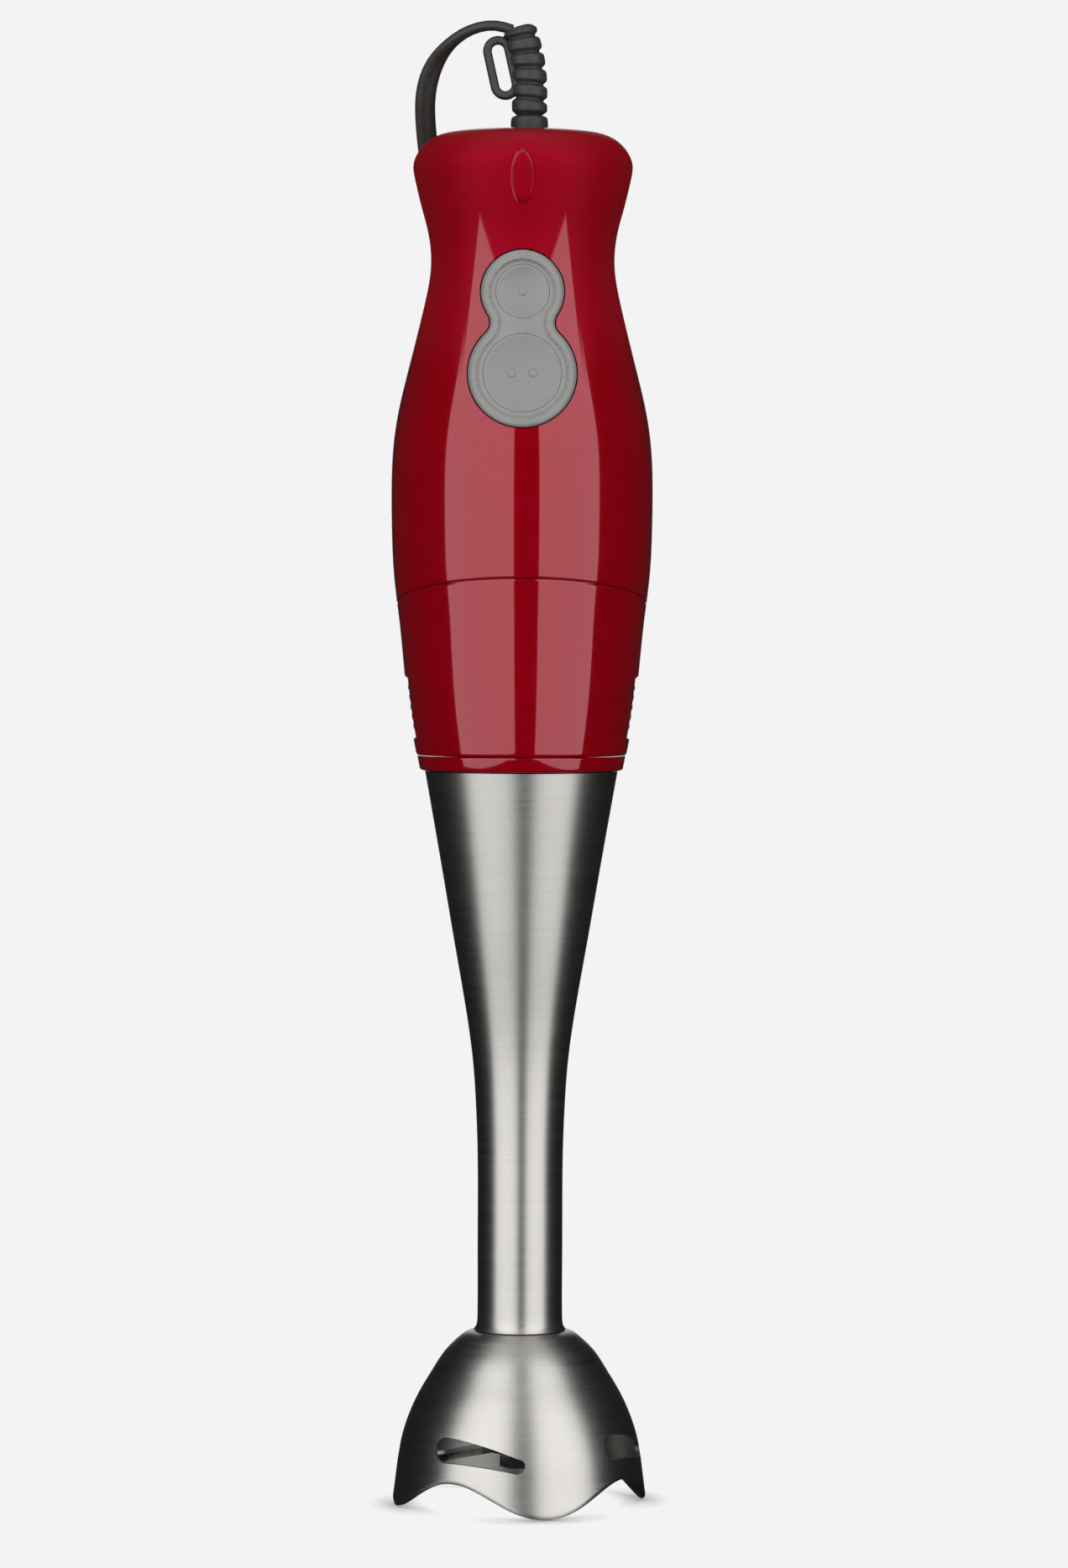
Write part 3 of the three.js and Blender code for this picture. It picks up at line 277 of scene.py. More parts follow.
# %% Outline of the handle
GAP = 0.3
WALL = 2.2
GRIP_LENGTH = 114.1
SEAM_DROP = 6.5
housing_low, housing_high = corners("motor_housing")
rim_z = housing_low[2]
seam_z = housing_high[2] + GAP / 2
crown_z = seam_z + GRIP_LENGTH
rear_low, rear_high = corners("handle_rear_shell")
belt = (rear_high[0] - rear_low[0]) / 2 + 0.03
WAIST, CROWN = 23.4, 27.95
BOSS_WIDE, BOSS_TALL, BOSS_DROP = 2.85, 6.7, 13.6  # half sizes of the oval boss, and its place
handle_stations = [
    (belt - 6.5, rim_z), (belt - 4.95, rim_z + 8.5), (belt - 3.35, rim_z + 21.3),
    (belt - 2.05, rim_z + 34.2), (belt - 0.75, seam_z), (belt - 0.15, seam_z + 10.6),
    (belt, seam_z + 20), (belt - 0.1, seam_z + 28), (belt - 0.75, seam_z + 36.4),
    (belt - 2.25, seam_z + 45), (29.0, crown_z - 60.5), (26.8, crown_z - 51.9),
    (24.75, crown_z - 43.3), (WAIST, crown_z - 34.8), (24.2, crown_z - 25.7),
    (26.0, crown_z - 18.9), (26.9, crown_z - 15.2), (27.7, crown_z - 11.6),
    (CROWN, crown_z - 9.2), (27.6, crown_z - 7.5), (26.3, crown_z - 5.1), (23.6, crown_z - 2.5),
    (20.3, crown_z - 1.1), (14, crown_z - 0.3), (0, crown_z),
]
outline = smooth_curve(handle_stations, 900)
outline[:, 0] = np.maximum(outline[:, 0], 0)
outline_s = lengths_along(outline)
slope = np.gradient(outline, outline_s, axis=0)
outline_normal = stacked(slope[:, 1], -slope[:, 0])


def handle_radius(z):
    """The handle's radius at a height."""
    return np.interp(z, outline[:, 1], outline[:, 0])


def on_outline(s, depth=0.0):
    """Radius and height at a length along the outline, moved inwards by depth."""
    return [np.interp(s, outline_s, outline[:, k] - depth * outline_normal[:, k]) for k in (0, 1)]


def seam_length(azimuth, offset):
    """Where the curved parting line crosses the outline: it drops with 1 - |cos(azimuth)|."""
    z = seam_z + offset - SEAM_DROP * (1 - np.abs(np.cos(azimuth)))
    return np.interp(z, outline[:, 1], outline_s)


print("handle", round(crown_z - rim_z, 1), "mm tall, belt radius", round(float(belt), 2))

# %% [markdown]
# ## Finishes
# Each finish is a small group of nodes on object coordinates. The red plastic has a clear coat
# over a saturated body, and is satin round the crown. The steel is brushed round its axis, so its
# noise is stretched sideways and squeezed in height. The rubbers are matt, with a fine grain.

# %% Finish builder
def feed(tree, node, inputs):
    """Sets a node's inputs: each is a number, a colour or the output of another node."""
    for name, value in inputs.items():
        if isinstance(value, bpy.types.NodeSocket):
            tree.links.new(value, node.inputs[name])
        else:
            node.inputs[name].default_value = value


def add_node(tree, kind, inputs=None, **settings):
    """A new shader node with its settings and inputs."""
    node = tree.nodes.new("ShaderNode" + kind)
    for name, value in settings.items():
        setattr(node, name, value)
    feed(tree, node, inputs or {})
    return node


def maths(tree, operation, *values):
    """One sum, product or comparison of numbers or outputs."""
    return add_node(tree, "Math", dict(enumerate(values)), operation=operation).outputs[0]


def ramp(tree, value, low, high, to=(0, 1), curve="SMOOTHSTEP"):
    """Goes from one number to the other while the value goes from low to high."""
    inputs = {"Value": value, "From Min": low, "From Max": high, "To Min": to[0], "To Max": to[1]}
    return add_node(tree, "MapRange", inputs, interpolation_type=curve).outputs["Result"]


def new_material(name):
    """An empty material and its node tree."""
    material = bpy.data.materials.new(name)
    material.use_nodes = True
    return material, material.node_tree


def surface(name, dark, light, rough, metallic=0.0, stretch=(1, 1, 1), scale=400.0,
            strength=0.1, depth=0.0001, constants=None):
    """A finish with two close shades, a range of roughness and a fine relief, all three from one
    noise on object coordinates, stretched by a factor on each axis."""
    material, tree = new_material(name)
    where = add_node(tree, "TexCoord").outputs["Object"]
    mapped = add_node(tree, "Mapping", {"Vector": where, "Scale": stretch}).outputs["Vector"]
    grain = {"Vector": mapped, "Scale": scale, "Detail": 3.0}
    noise = add_node(tree, "TexNoise", grain).outputs["Fac"]
    tint = add_node(tree, "ValToRGB", {"Fac": noise})
    for element, position, colour in zip(tint.color_ramp.elements, (0.35, 0.65), (dark, light)):
        element.position = position
        element.color = (*colour, 1)
    relief = add_node(tree, "Bump", {"Strength": strength, "Distance": depth, "Height": noise})
    feed(tree, tree.nodes["Principled BSDF"], {
        "Base Color": tint.outputs["Color"], "Normal": relief.outputs["Normal"],
        "Roughness": ramp(tree, noise, 0.3, 0.7, rough, "LINEAR"), "Metallic": metallic,
        **(constants or {})})
    return material


# %% Satin crown
def polished_places(tree):
    """Where the clear coat lies: everywhere below the waist, in two wedges that end in points
    beside the panel, on the rim of the crown and on the flank of the small boss. Lengths are in
    millimetres, and heights count from the top of the crown."""
    where = add_node(tree, "TexCoord").outputs["Object"]
    x, y, z = add_node(tree, "SeparateXYZ", {0: where}).outputs
    side = maths(tree, "MULTIPLY", maths(tree, "ABSOLUTE", x), 1 / MM)
    up = maths(tree, "MULTIPLY_ADD", z, 1 / MM, float(-crown_z))
    inner = ramp(tree, maths(tree, "MULTIPLY_ADD", side, -3.0, up), -57, -54)
    outer = ramp(tree, maths(tree, "MULTIPLY_ADD", side, 9.1, up), 73, 77)
    outer = maths(tree, "MULTIPLY", outer, ramp(tree, up, -67.5, -47.5))
    above = ramp(tree, up, -25.5, -20.5)
    satin = maths(tree, "MAXIMUM", maths(tree, "MAXIMUM", inner, outer), above)
    rim = ramp(tree, up, -1.5, -0.5)
    across = maths(tree, "MULTIPLY", side, 1 / BOSS_WIDE)
    along = maths(tree, "MULTIPLY", maths(tree, "ADD", up, BOSS_DROP), 1 / BOSS_TALL)
    squares = maths(tree, "MULTIPLY_ADD", across, across, maths(tree, "MULTIPLY", along, along))
    ring = maths(tree, "MULTIPLY", ramp(tree, squares, 0.76, 0.86), ramp(tree, squares, 1.12, 1.04))
    ring = maths(tree, "MULTIPLY", ring, maths(tree, "LESS_THAN", y, 0.0))
    kept = maths(tree, "MAXIMUM", maths(tree, "SUBTRACT", 1.0, satin), rim)
    return maths(tree, "MAXIMUM", kept, ring)


def make_crown_satin(material, coat=0.96, rougher=0.34):
    """Outside the polished places the coat goes and the roughness rises."""
    tree = material.node_tree
    shader = tree.nodes["Principled BSDF"]
    polished = polished_places(tree)
    noise = shader.inputs["Roughness"].links[0].from_socket
    dull = maths(tree, "MULTIPLY", maths(tree, "SUBTRACT", 1.0, polished), rougher)
    feed(tree, shader, {
        "Roughness": maths(tree, "ADD", dull, noise),
        "Coat Weight": maths(tree, "MULTIPLY", polished, coat)})
    return material


# %% The finishes themselves
FINISHES = {
    "red_plastic": make_crown_satin(surface(
        "red_gloss", (0.205, 0.0002, 0.0035), (0.217, 0.0003, 0.0045), (0.12, 0.16),
        scale=260.0, strength=0.02, depth=0.00004, constants={
            "Coat Roughness": 0.03, "Specular IOR Level": 0.7,
            "Specular Tint": (1.0, 0.03, 0.13, 1.0)})),
    "grey_rubber": surface(
        "grey_rubber", (0.195, 0.195, 0.190), (0.215, 0.215, 0.208), (0.34, 0.46),
        scale=2200.0, strength=0.12, depth=0.00006),
    "black_rubber": surface(
        "black_rubber", (0.018, 0.018, 0.016), (0.028, 0.028, 0.025), (0.48, 0.62),
        scale=1500.0, strength=0.15, depth=0.00008),
    "dark_plastic": surface(
        "dark_plastic", (0.02, 0.021, 0.023), (0.03, 0.032, 0.034), (0.45, 0.6), scale=900.0),
    "brushed_steel": surface(
        "brushed_steel", (0.455, 0.443, 0.425), (0.50, 0.488, 0.468), (0.36, 0.41), metallic=1.0,
        stretch=(60, 60, 1500), scale=1.0, strength=0.012, depth=0.00001,
        constants={"Anisotropic": 0.57, "Anisotropic Rotation": 0.25}),
    "polished_steel": surface(
        "polished_steel", (0.58, 0.58, 0.57), (0.66, 0.66, 0.65), (0.12, 0.2), metallic=1.0,
        stretch=(900, 40, 40), scale=1.0, strength=0.05, depth=0.00003),
    "laminated_iron": surface(
        "laminated_iron", (0.12, 0.12, 0.125), (0.2, 0.2, 0.21), (0.4, 0.6), metallic=0.9,
        stretch=(2, 2, 2200), scale=1.0, strength=0.4, depth=0.0001),
    "copper": surface(
        "copper_wire", (0.36, 0.10, 0.03), (0.55, 0.19, 0.06), (0.25, 0.45), metallic=0.9,
        stretch=(60, 60, 1800), scale=1.0, strength=0.5, depth=0.0002),
    "brass": surface(
        "plain_brass", (0.50, 0.32, 0.10), (0.62, 0.42, 0.15), (0.22, 0.34), metallic=1.0,
        scale=700.0),
    "carbon": surface(
        "carbon_block", (0.008, 0.008, 0.009), (0.02, 0.02, 0.021), (0.6, 0.8), scale=1200.0),
    "board": surface(
        "board_laminate", (0.015, 0.07, 0.03), (0.02, 0.10, 0.045), (0.4, 0.5), scale=500.0),
}

for row in frame["record"]["subparts"]:
    frame["nodes"][row["node"]].data.materials.clear()
    frame["nodes"][row["node"]].data.materials.append(FINISHES[row["material_slot"]])


def dress(piece, body, slot, *nodes):
    """Gives a new piece its finish and its body, hides the nodes that it stands for, and says so."""
    piece.data.materials.clear()
    piece.data.materials.append(FINISHES[slot])
    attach(piece, body)
    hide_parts(*nodes)
    print(piece.name, "on", body, "with", len(piece.data.polygons), "faces")
    return piece


# %% [markdown]
# ## The cord
# A flat two-core lead leaves the cord guard, bows over and hangs down behind the handle. The rest
# of its length is folded into a tied hank on the floor, in line with the blender. Its route is a
# list of given points, and the hank's turns come from a loop.

# %% Route of the cord
CORD_WIDTH = 5.2
CORD_THICK = 2.9
cord_start = [(-2.9, 0.0, 376.0)]
cord_route = [
    (-6.6, 0.2, 377.0), (-12.7, 1.2, 376.3), (-18.4, 3.5, 373.0), (-22.9, 7.0, 367.4),
    (-25.0, 10.5, 360.4), (-25.0, 15.0, 352.0), (-23.8, 20.0, 342.0), (-21.0, 25.8, 330.0),
    (-17.5, 30.8, 315.0), (-15.5, 34.8, 297.0), (-13.8, 37.8, 277.0), (-12.0, 39.8, 255.0),
    (-10.0, 41.2, 230.0), (-8.0, 42.2, 205.0), (-6.0, 42.9, 180.0), (-4.2, 43.4, 155.0),
    (-2.6, 43.8, 130.0), (-1.2, 44.1, 105.0), (-0.2, 44.3, 82.0), (0.5, 44.6, 62.0),
    (1.2, 45.4, 45.0), (2.6, 47.8, 30.0), (5.2, 52.4, 18.0), (9.2, 59.4, 9.5),
    (13.4, 68.0, 5.2), (16.8, 77.0, 3.9), (18.2, 82.0, 3.8),
]
plug_route = [
    (-18.9, 166.0, 10.6), (-16.2, 161.0, 14.0), (-13.2, 151.5, 15.0), (-7.5, 142.0, 17.6),
    (-2.4, 134.0, 18.8), (-0.2, 125.6, 19.0), (0.0, 121.0, 19.0),
]
hank_low, hank_high = corners("cord_hank")
fold = (hank_high[0] - hank_low[0]) / 2
near_fold_y = hank_low[1] + fold
far_fold_y = hank_high[1] - fold
outer_column = fold - CORD_THICK / 2 - 0.1
inner_column = outer_column - CORD_THICK - 0.3
lower_layer = hank_low[2] + CORD_WIDTH / 2 + 0.05
upper_layer = lower_layer + CORD_WIDTH + 0.05
hank_turns = [
    (outer_column, lower_layer), (inner_column, lower_layer),
    (inner_column, upper_layer), (outer_column, upper_layer),
]


def hank_points():
    """Racetrack turns: up the right run, round the far fold, down the left run and round the near
    fold, where the radius and the height change smoothly to those of the next turn."""
    points = []
    run = far_fold_y - near_fold_y
    for number, (radius, z) in enumerate(hank_turns):
        last = number == len(hank_turns) - 1
        points += [(radius, near_fold_y + k / 12 * run, z) for k in range(12)]
        points += [(radius * cos(angle), far_fold_y + radius * sin(angle), z)
                   for angle in np.linspace(0, pi, 12, endpoint=not last)]
        if last:
            break
        points += [(-radius, far_fold_y - share * run, z)
                   for share in np.linspace(0.08, 1, 11, endpoint=False)]
        next_radius, next_z = hank_turns[number + 1]
        for share in np.linspace(0, 1, 12, endpoint=False):
            blend = float(soft_step(share))
            r, angle = radius + blend * (next_radius - radius), pi + pi * share
            height = z + blend * (next_z - z)
            points.append((r * cos(angle), near_fold_y + r * sin(angle), height))
    return points


def even(points, step):
    """The same line with points a step apart."""
    s = lengths_along(points)
    places = np.linspace(0, s[-1], int(s[-1] / step) + 1)
    return stacked(*[np.interp(places, s, part) for part in points.T])


rough_route = np.array(cord_start + cord_route + hank_points() + plug_route)
cord_line = even(smooth_curve(rough_route, 6000), 2.2)
cord_length = lengths_along(cord_line)[-1]
print("route of", len(cord_line), "points")

# %% [markdown]
# The flat cord twists as it goes: edge-on where it leaves the guard, flat against the air behind
# the handle, and on its edge in the hank. A direction for its wide side is chosen at a few places
# and blended between them, then squared to the line.

# %% Body of the cord
def nearest_length(point):
    """How far along the cord the place nearest to a point lies."""
    gaps = np.linalg.norm(cord_line - np.array(point), axis=1)
    return lengths_along(cord_line)[int(np.argmin(gaps))]


route_sides = [
    (1, (0.2, 1, 0.1)), (3, (1, 0.3, 0.3)), (4, (1, 0, 0.1)), (22, (1, 0, 0)),
    (25, (0.2, 0, 1)), (26, (0, 0, 1)),
]
wide_sides = [
    (0, (0.15, 1, 0.1)), *[(nearest_length(cord_route[k]), side) for k, side in route_sides],
    (cord_length - 75, (0, 0, 1)), (cord_length - 20, (1, 0, 0.1)), (cord_length, (1, 0, 0)),
]


def flat_section(turns):
    """Two cores side by side: an ellipse with a shallow groove along each broad face."""
    groove = 1 - 0.17 * np.exp(-((np.cos(turns) / 0.22) ** 2))
    return CORD_WIDTH / 2 * np.cos(turns), CORD_THICK / 2 * np.sin(turns) * groove


def make_cord():
    """Rings of the flat section, centred on the line and turned to the wide side's direction."""
    s = lengths_along(cord_line)
    tangent = directions(cord_line, s)
    places, sides = zip(*wide_sides)
    wide = stacked(*[np.interp(s, places, parts) for parts in zip(*sides)])
    wide -= np.einsum("ij,ij->i", wide, tangent)[:, None] * tangent
    wide /= np.linalg.norm(wide, axis=1, keepdims=True)
    thin = np.cross(tangent, wide)
    across, up = flat_section(turns(28))
    reach = across[None, :, None] * wide[:, None] + up[None, :, None] * thin[:, None]
    return solid_of_rings("flat_cord", cord_line[:, None] + reach, 60)


cord = dress(make_cord(), "handle", "black_rubber", "power_cord", "cord_hank", "plug_lead")

# %% [markdown]
# ## Plug and tie
# The plug is a rounded body that narrows towards the cord, with finger ribs on its tail. It is a
# stack of rounded rectangles, with the ribs as a ripple in their size. The tie is a strap round
# the hank.

# %% Plug and tie
plug_low, plug_high = corners("plug_body")
plug_z = middle("plug_body")[2]
NOSE_ROUND, NOSE_DROP = 1.4, 1.2  # length and depth of the rounding at the nose
NECK_START, NECK_RUN = 13, 15  # from the nose, where the body narrows
TAIL_WIDE, TAIL_TALL = 4.4, 3.2
FINGER_START, FINGER_PITCH, FINGER_HEIGHT = 24, 2.6, 0.35


def rounded_ring(half_width, half_height, power, count=64):
    """A superellipse: |x/a|^p + |z/b|^p = 1, a rectangle with round corners for p above 2."""
    turn = turns(count)
    x = np.sign(np.cos(turn)) * np.abs(np.cos(turn)) ** (2 / power)
    z = np.sign(np.sin(turn)) * np.abs(np.sin(turn)) ** (2 / power)
    return half_width * x, half_height * z


def make_plug():
    """Rounded rectangles from the nose to the tail, whose width follows a soft step."""
    nose, tail = plug_low[1], plug_high[1]
    full = (plug_high[0] - plug_low[0]) / 2
    half_height = (plug_high[2] - plug_low[2]) / 2
    rings = []
    for y in np.concatenate([[nose, nose + 0.2, nose + 0.6], np.linspace(nose + 1.2, tail, 90)]):
        edge = np.sqrt(max(0.0, 1 - max(0.0, 1 - (y - nose) / NOSE_ROUND) ** 2))
        drop = NOSE_DROP * (1 - edge)
        narrow = float(soft_step((y - nose - NECK_START) / NECK_RUN))
        ribs = np.cos((y - tail) * 2 * pi / FINGER_PITCH) * soft_step((y - nose - FINGER_START) / 3)
        width = (full - drop) * (1 - narrow) + TAIL_WIDE * narrow + FINGER_HEIGHT * ribs
        height = (half_height - drop) * (1 - narrow) + TAIL_TALL * narrow + FINGER_HEIGHT * ribs
        x, z = rounded_ring(width, height, 4 - 1.6 * narrow)
        rings.append(stacked(x, y, plug_z + z))
    return solid_of_rings("mains_plug", np.array(rings))


plug = dress(make_plug(), "handle", "black_rubber", "plug_body")


def make_tie():
    """A thin strap: a rounded rectangle carried round the hank, as four walls of its section."""
    low, high = corners("cord_tie")
    centre, half = (low + high) / 2, (high - low) / 2
    sections = []
    inner_x, inner_z = rounded_ring(half[0] - 0.75, half[2] - 0.75, 9, 120)
    outer_x, outer_z = rounded_ring(half[0], half[2], 9, 120)
    for y, share in ((low[1], 0.75), (low[1] + 0.4, 1), (high[1] - 0.4, 1), (high[1], 0.75)):
        x = inner_x + share * (outer_x - inner_x)
        z = inner_z + share * (outer_z - inner_z)
        sections.append(stacked(centre[0] + x, y, centre[2] + z))
    for y in (high[1], low[1]):
        sections.append(stacked(centre[0] + inner_x, y, centre[2] + inner_z))
    return solid_of_sections("hank_tie", np.array(sections).transpose(1, 0, 2), True, 50)


tie = dress(make_tie(), "handle", "black_rubber", "cord_tie")

# %% [markdown]
# ## Cord guard
# A ribbed rubber sleeve keeps the lead from kinking, and carries a flat loop to hang the blender
# by. The sleeve is a bar whose radius falls in a narrow groove between ribs, carried along a
# line that leans over at its top.

# %% Cord guard
GUARD_X = 1.6
guard_spine = smooth_curve(
    [(GUARD_X, 0, crown_z - 3), (GUARD_X, 0, crown_z + 5), (GUARD_X, 0, crown_z + 11),
     (GUARD_X - 0.6, 0, crown_z + 17.5), (GUARD_X - 1.7, 0, crown_z + 22),
     (GUARD_X - 3.0, 0, crown_z + 26.2)], 260)
COLLAR_END = 6.9  # along the spine, from its start below the crown
RIB_PITCH = 3.97
RIB_TILT = 0.45


def guard_radius(s):
    """A collar, then ribs: the radius dips where the length past the collar is a whole number
    of pitches."""
    past = s - COLLAR_END
    ribs = 4.5 - 1.0 * np.abs(np.cos(pi * past / RIB_PITCH)) ** 8
    collar = 4.75 - 1.25 * np.exp(-((past / 0.42) ** 2)) - 0.35 * np.exp(-((past / 1.1) ** 2))
    return np.where(past < 0, collar, ribs)


def make_guard():
    """Rings round the spine. The grooves lie a little lower on the right, so the length that
    sets the radius grows with the cosine round the ring."""
    s = lengths_along(guard_spine)
    tangent = directions(guard_spine, s)
    side = stacked(tangent[:, 2], 0, -tangent[:, 0])
    turn = turns(64)
    tilt = RIB_TILT * soft_step((s - COLLAR_END) / 3)[:, None] * np.cos(turn)[None, :]
    radius = guard_radius(s[:, None] + tilt)
    cap = np.sqrt(np.clip((s[-1] - s) / 1.5, 0, 1))
    radius = radius * (0.55 + 0.45 * cap)[:, None]
    over, deep = np.cos(turn)[None, :, None], np.sin(turn)[None, :, None]
    ring = side[:, None] * over + np.array([0, 1, 0]) * deep
    return solid_of_rings("cord_guard", guard_spine[:, None] + radius[..., None] * ring, 60)


def make_hang_loop():
    """A rounded bar carried round a long oval that leans with the guard."""
    half_straight, radius = 4.4, 2.7
    lean = radians(12.5)
    half = np.linspace(0, pi, 24)
    turn = np.concatenate([half, half + pi])
    lift = np.repeat([half_straight, -half_straight], len(half))
    path = stacked(radius * np.cos(turn), lift + radius * np.sin(turn))
    ahead = np.roll(path, -1, 0) - np.roll(path, 1, 0)
    ahead /= np.linalg.norm(ahead, axis=1, keepdims=True)
    out = stacked(ahead[:, 1], -ahead[:, 0])
    across, deep = rounded_ring(1.12, 1.7, 2.6, 24)
    flat = path[:, None] + across[None, :, None] * out[:, None]
    x = flat[..., 0] * cos(lean) - flat[..., 1] * sin(lean)
    z = flat[..., 0] * sin(lean) + flat[..., 1] * cos(lean)
    centre = (GUARD_X - 7.1, crown_z + 15.8)
    sections = stacked(centre[0] + x, deep, centre[1] + z)
    return solid_of_sections("hang_loop", sections, True, 60)


guard = combine(make_guard(), make_hang_loop(), "UNION")
dress(guard, "handle", "black_rubber", "strain_relief")

# %% [markdown]
# ## Handle shells
# The two halves meet along the sides, and their lower edge follows the curved parting line. Each
# is a grid in azimuth and in length along the outline, doubled by the wall. The front one is cut
# for the button panel and carries a small oval boss, and both make room for the cord guard.

# %% Figure-of-eight outline of the button panel
upper_z, lower_z = middle("speed_one_button")[2], middle("speed_two_button")[2]
UPPER_LOBE, LOWER_LOBE, NECK_FILLET = 10.75, 13.95, 3.55
span = upper_z - lower_z
reach_low, reach_high = LOWER_LOBE + NECK_FILLET, UPPER_LOBE + NECK_FILLET
neck_rise = (reach_low**2 - reach_high**2 + span**2) / (2 * span)
neck_side = float(np.sqrt(reach_low**2 - neck_rise**2))
low_turn = atan2(neck_rise, neck_side)
high_turn = atan2(span - neck_rise, neck_side)


def arc(x, z, radius, start, end, count):
    """Points on a circle round (x, z), from the start angle up to the end angle."""
    turn = np.linspace(start, end, count, endpoint=False)
    return stacked(x + radius * np.cos(turn), z + radius * np.sin(turn))


def figure_eight(offset):
    """Two lobes joined by fillets, grown by an offset: every arc keeps its centre."""
    web = NECK_FILLET - offset
    neck_z = lower_z + neck_rise
    return np.vstack([
        arc(0, lower_z, LOWER_LOBE + offset, pi - low_turn, 2 * pi + low_turn, 110),
        arc(neck_side, neck_z, web, pi + low_turn, pi - high_turn, 18),
        arc(0, upper_z, UPPER_LOBE + offset, -high_turn, pi + high_turn, 90),
        arc(-neck_side, neck_z, web, high_turn, -low_turn, 18),
    ])


def inside_distance(x, z):
    """How deep a point lies inside the figure of eight: the larger of the two lobes' depths, or
    the distance from the fillet where the fillet is the nearest edge."""
    upper = UPPER_LOBE - np.hypot(x, z - upper_z)
    lobes = np.maximum(upper, LOWER_LOBE - np.hypot(x, z - lower_z))
    dx, dz = neck_side - np.abs(x), z - (lower_z + neck_rise)
    turn = np.arctan2(-dz, dx)
    by_fillet = (turn < low_turn) & (turn > -high_turn) & (dx > 0)
    return np.where(by_fillet, np.hypot(dx, dz) - NECK_FILLET, lobes)


print("outline of", len(figure_eight(0)), "points, neck at", round(float(lower_z + neck_rise), 1))

# %% Shells
SEAM_GAP = 0.09  # half of the fine line between the mouldings
EDGE_ROLL, ROLL_RUN = 0.2, 0.3  # depth and length of the rounding along a moulding's edge
SCREW_PAD, SCREW_WELL, SCREW_BORE = 4.6, 3.3, 1.9


def half_shell(name, middle):
    """Section loops, outer wall up and inner wall down, at azimuths over half a turn."""
    edge = SEAM_GAP / belt
    azimuth = middle + np.linspace(-pi / 2 + edge, pi / 2 - edge, 150)
    top_s = outline_s[-1] - 1.2
    start = seam_length(azimuth, SEAM_GAP)
    share = (1 - np.cos(np.linspace(0, pi, 140)))[None, :] / 2
    s = start[:, None] + share * (top_s - start)[:, None]
    outer_r, outer_z = on_outline(s)
    inner_r, inner_z = on_outline(s, WALL)
    rounding = EDGE_ROLL * np.exp(-(((s - start[:, None]) / ROLL_RUN) ** 2))
    outer = about_axis(outer_r - rounding, outer_z, azimuth[:, None])
    inner = about_axis(np.maximum(inner_r, 0.3), inner_z, azimuth[:, None])
    return solid_of_sections(name, np.concatenate([outer, inner[:, ::-1]], 1), False)


def guard_hole():
    """A round bar where the cord guard passes through the crown."""
    turn = turns(48)
    rings = [
        stacked(1.5 + 3.9 * np.cos(turn), 3.9 * np.sin(turn), z)
        for z in (crown_z - 12, crown_z + 5)
    ]
    return solid_of_rings("tool", np.array(rings))


def boss():
    """A low oval pad on the handle's skin: flat on top, with a short rounded flank."""
    z0 = crown_z - BOSS_DROP
    turn = turns(120)
    rings = []
    for size, lift in [(0.02, 0.42), (0.5, 0.42), (0.8, 0.4), (0.88, 0.37), (0.94, 0.28),
                       (0.985, 0.12), (1.0, -0.1), (1.0, -1.2), (0.02, -1.2)]:
        x = BOSS_WIDE * size * np.cos(turn)
        z = z0 + BOSS_TALL * size * np.sign(np.sin(turn)) * np.abs(np.sin(turn)) ** 1.06
        y = -np.sqrt((handle_radius(z) + lift) ** 2 - x**2)
        rings.append(stacked(x, y, z))
    return solid_of_rings("tool", np.array(rings))


front = half_shell("front_shell", 0.0)
combine(front, bar(figure_eight(0), -60, -5, "y"), "DIFFERENCE")
combine(front, boss(), "UNION")
combine(front, guard_hole(), "DIFFERENCE")
dress(front, "handle", "red_plastic", "handle_front_shell")

rear = half_shell("rear_shell", pi)
for node in ("shell_screw_upper", "shell_screw_lower"):
    z = middle(node)[2]
    wall_y = float(handle_radius(z))
    combine(rear, bar(oval(SCREW_PAD, SCREW_PAD, 0, z, 48), wall_y - 6, wall_y - 1.2, "y"), "UNION")
    well = bar(oval(SCREW_WELL, SCREW_WELL, 0, z, 48), wall_y - 4, wall_y + 9, "y")
    combine(rear, well, "DIFFERENCE")
    bore = bar(oval(SCREW_BORE, SCREW_BORE, 0, z, 32), wall_y - 9, wall_y + 9, "y")
    combine(rear, bore, "DIFFERENCE")
combine(rear, guard_hole(), "DIFFERENCE")
dress(rear, "handle", "red_plastic", "handle_rear_shell")

# %% [markdown]
# ## Motor housing and release buttons
# Below the parting line the housing tapers to the leg. On each side an oval push button with
# raised grip dots sits a little below the surface, and its yoke reaches round to the catch.

# %% Motor housing
release_z = middle("release_button_right")[2]
RELEASE_WIDE, RELEASE_TALL = 17.7, 7.9
RELEASE_SINK = 0.7
MOUTH_RADIUS = 18.8


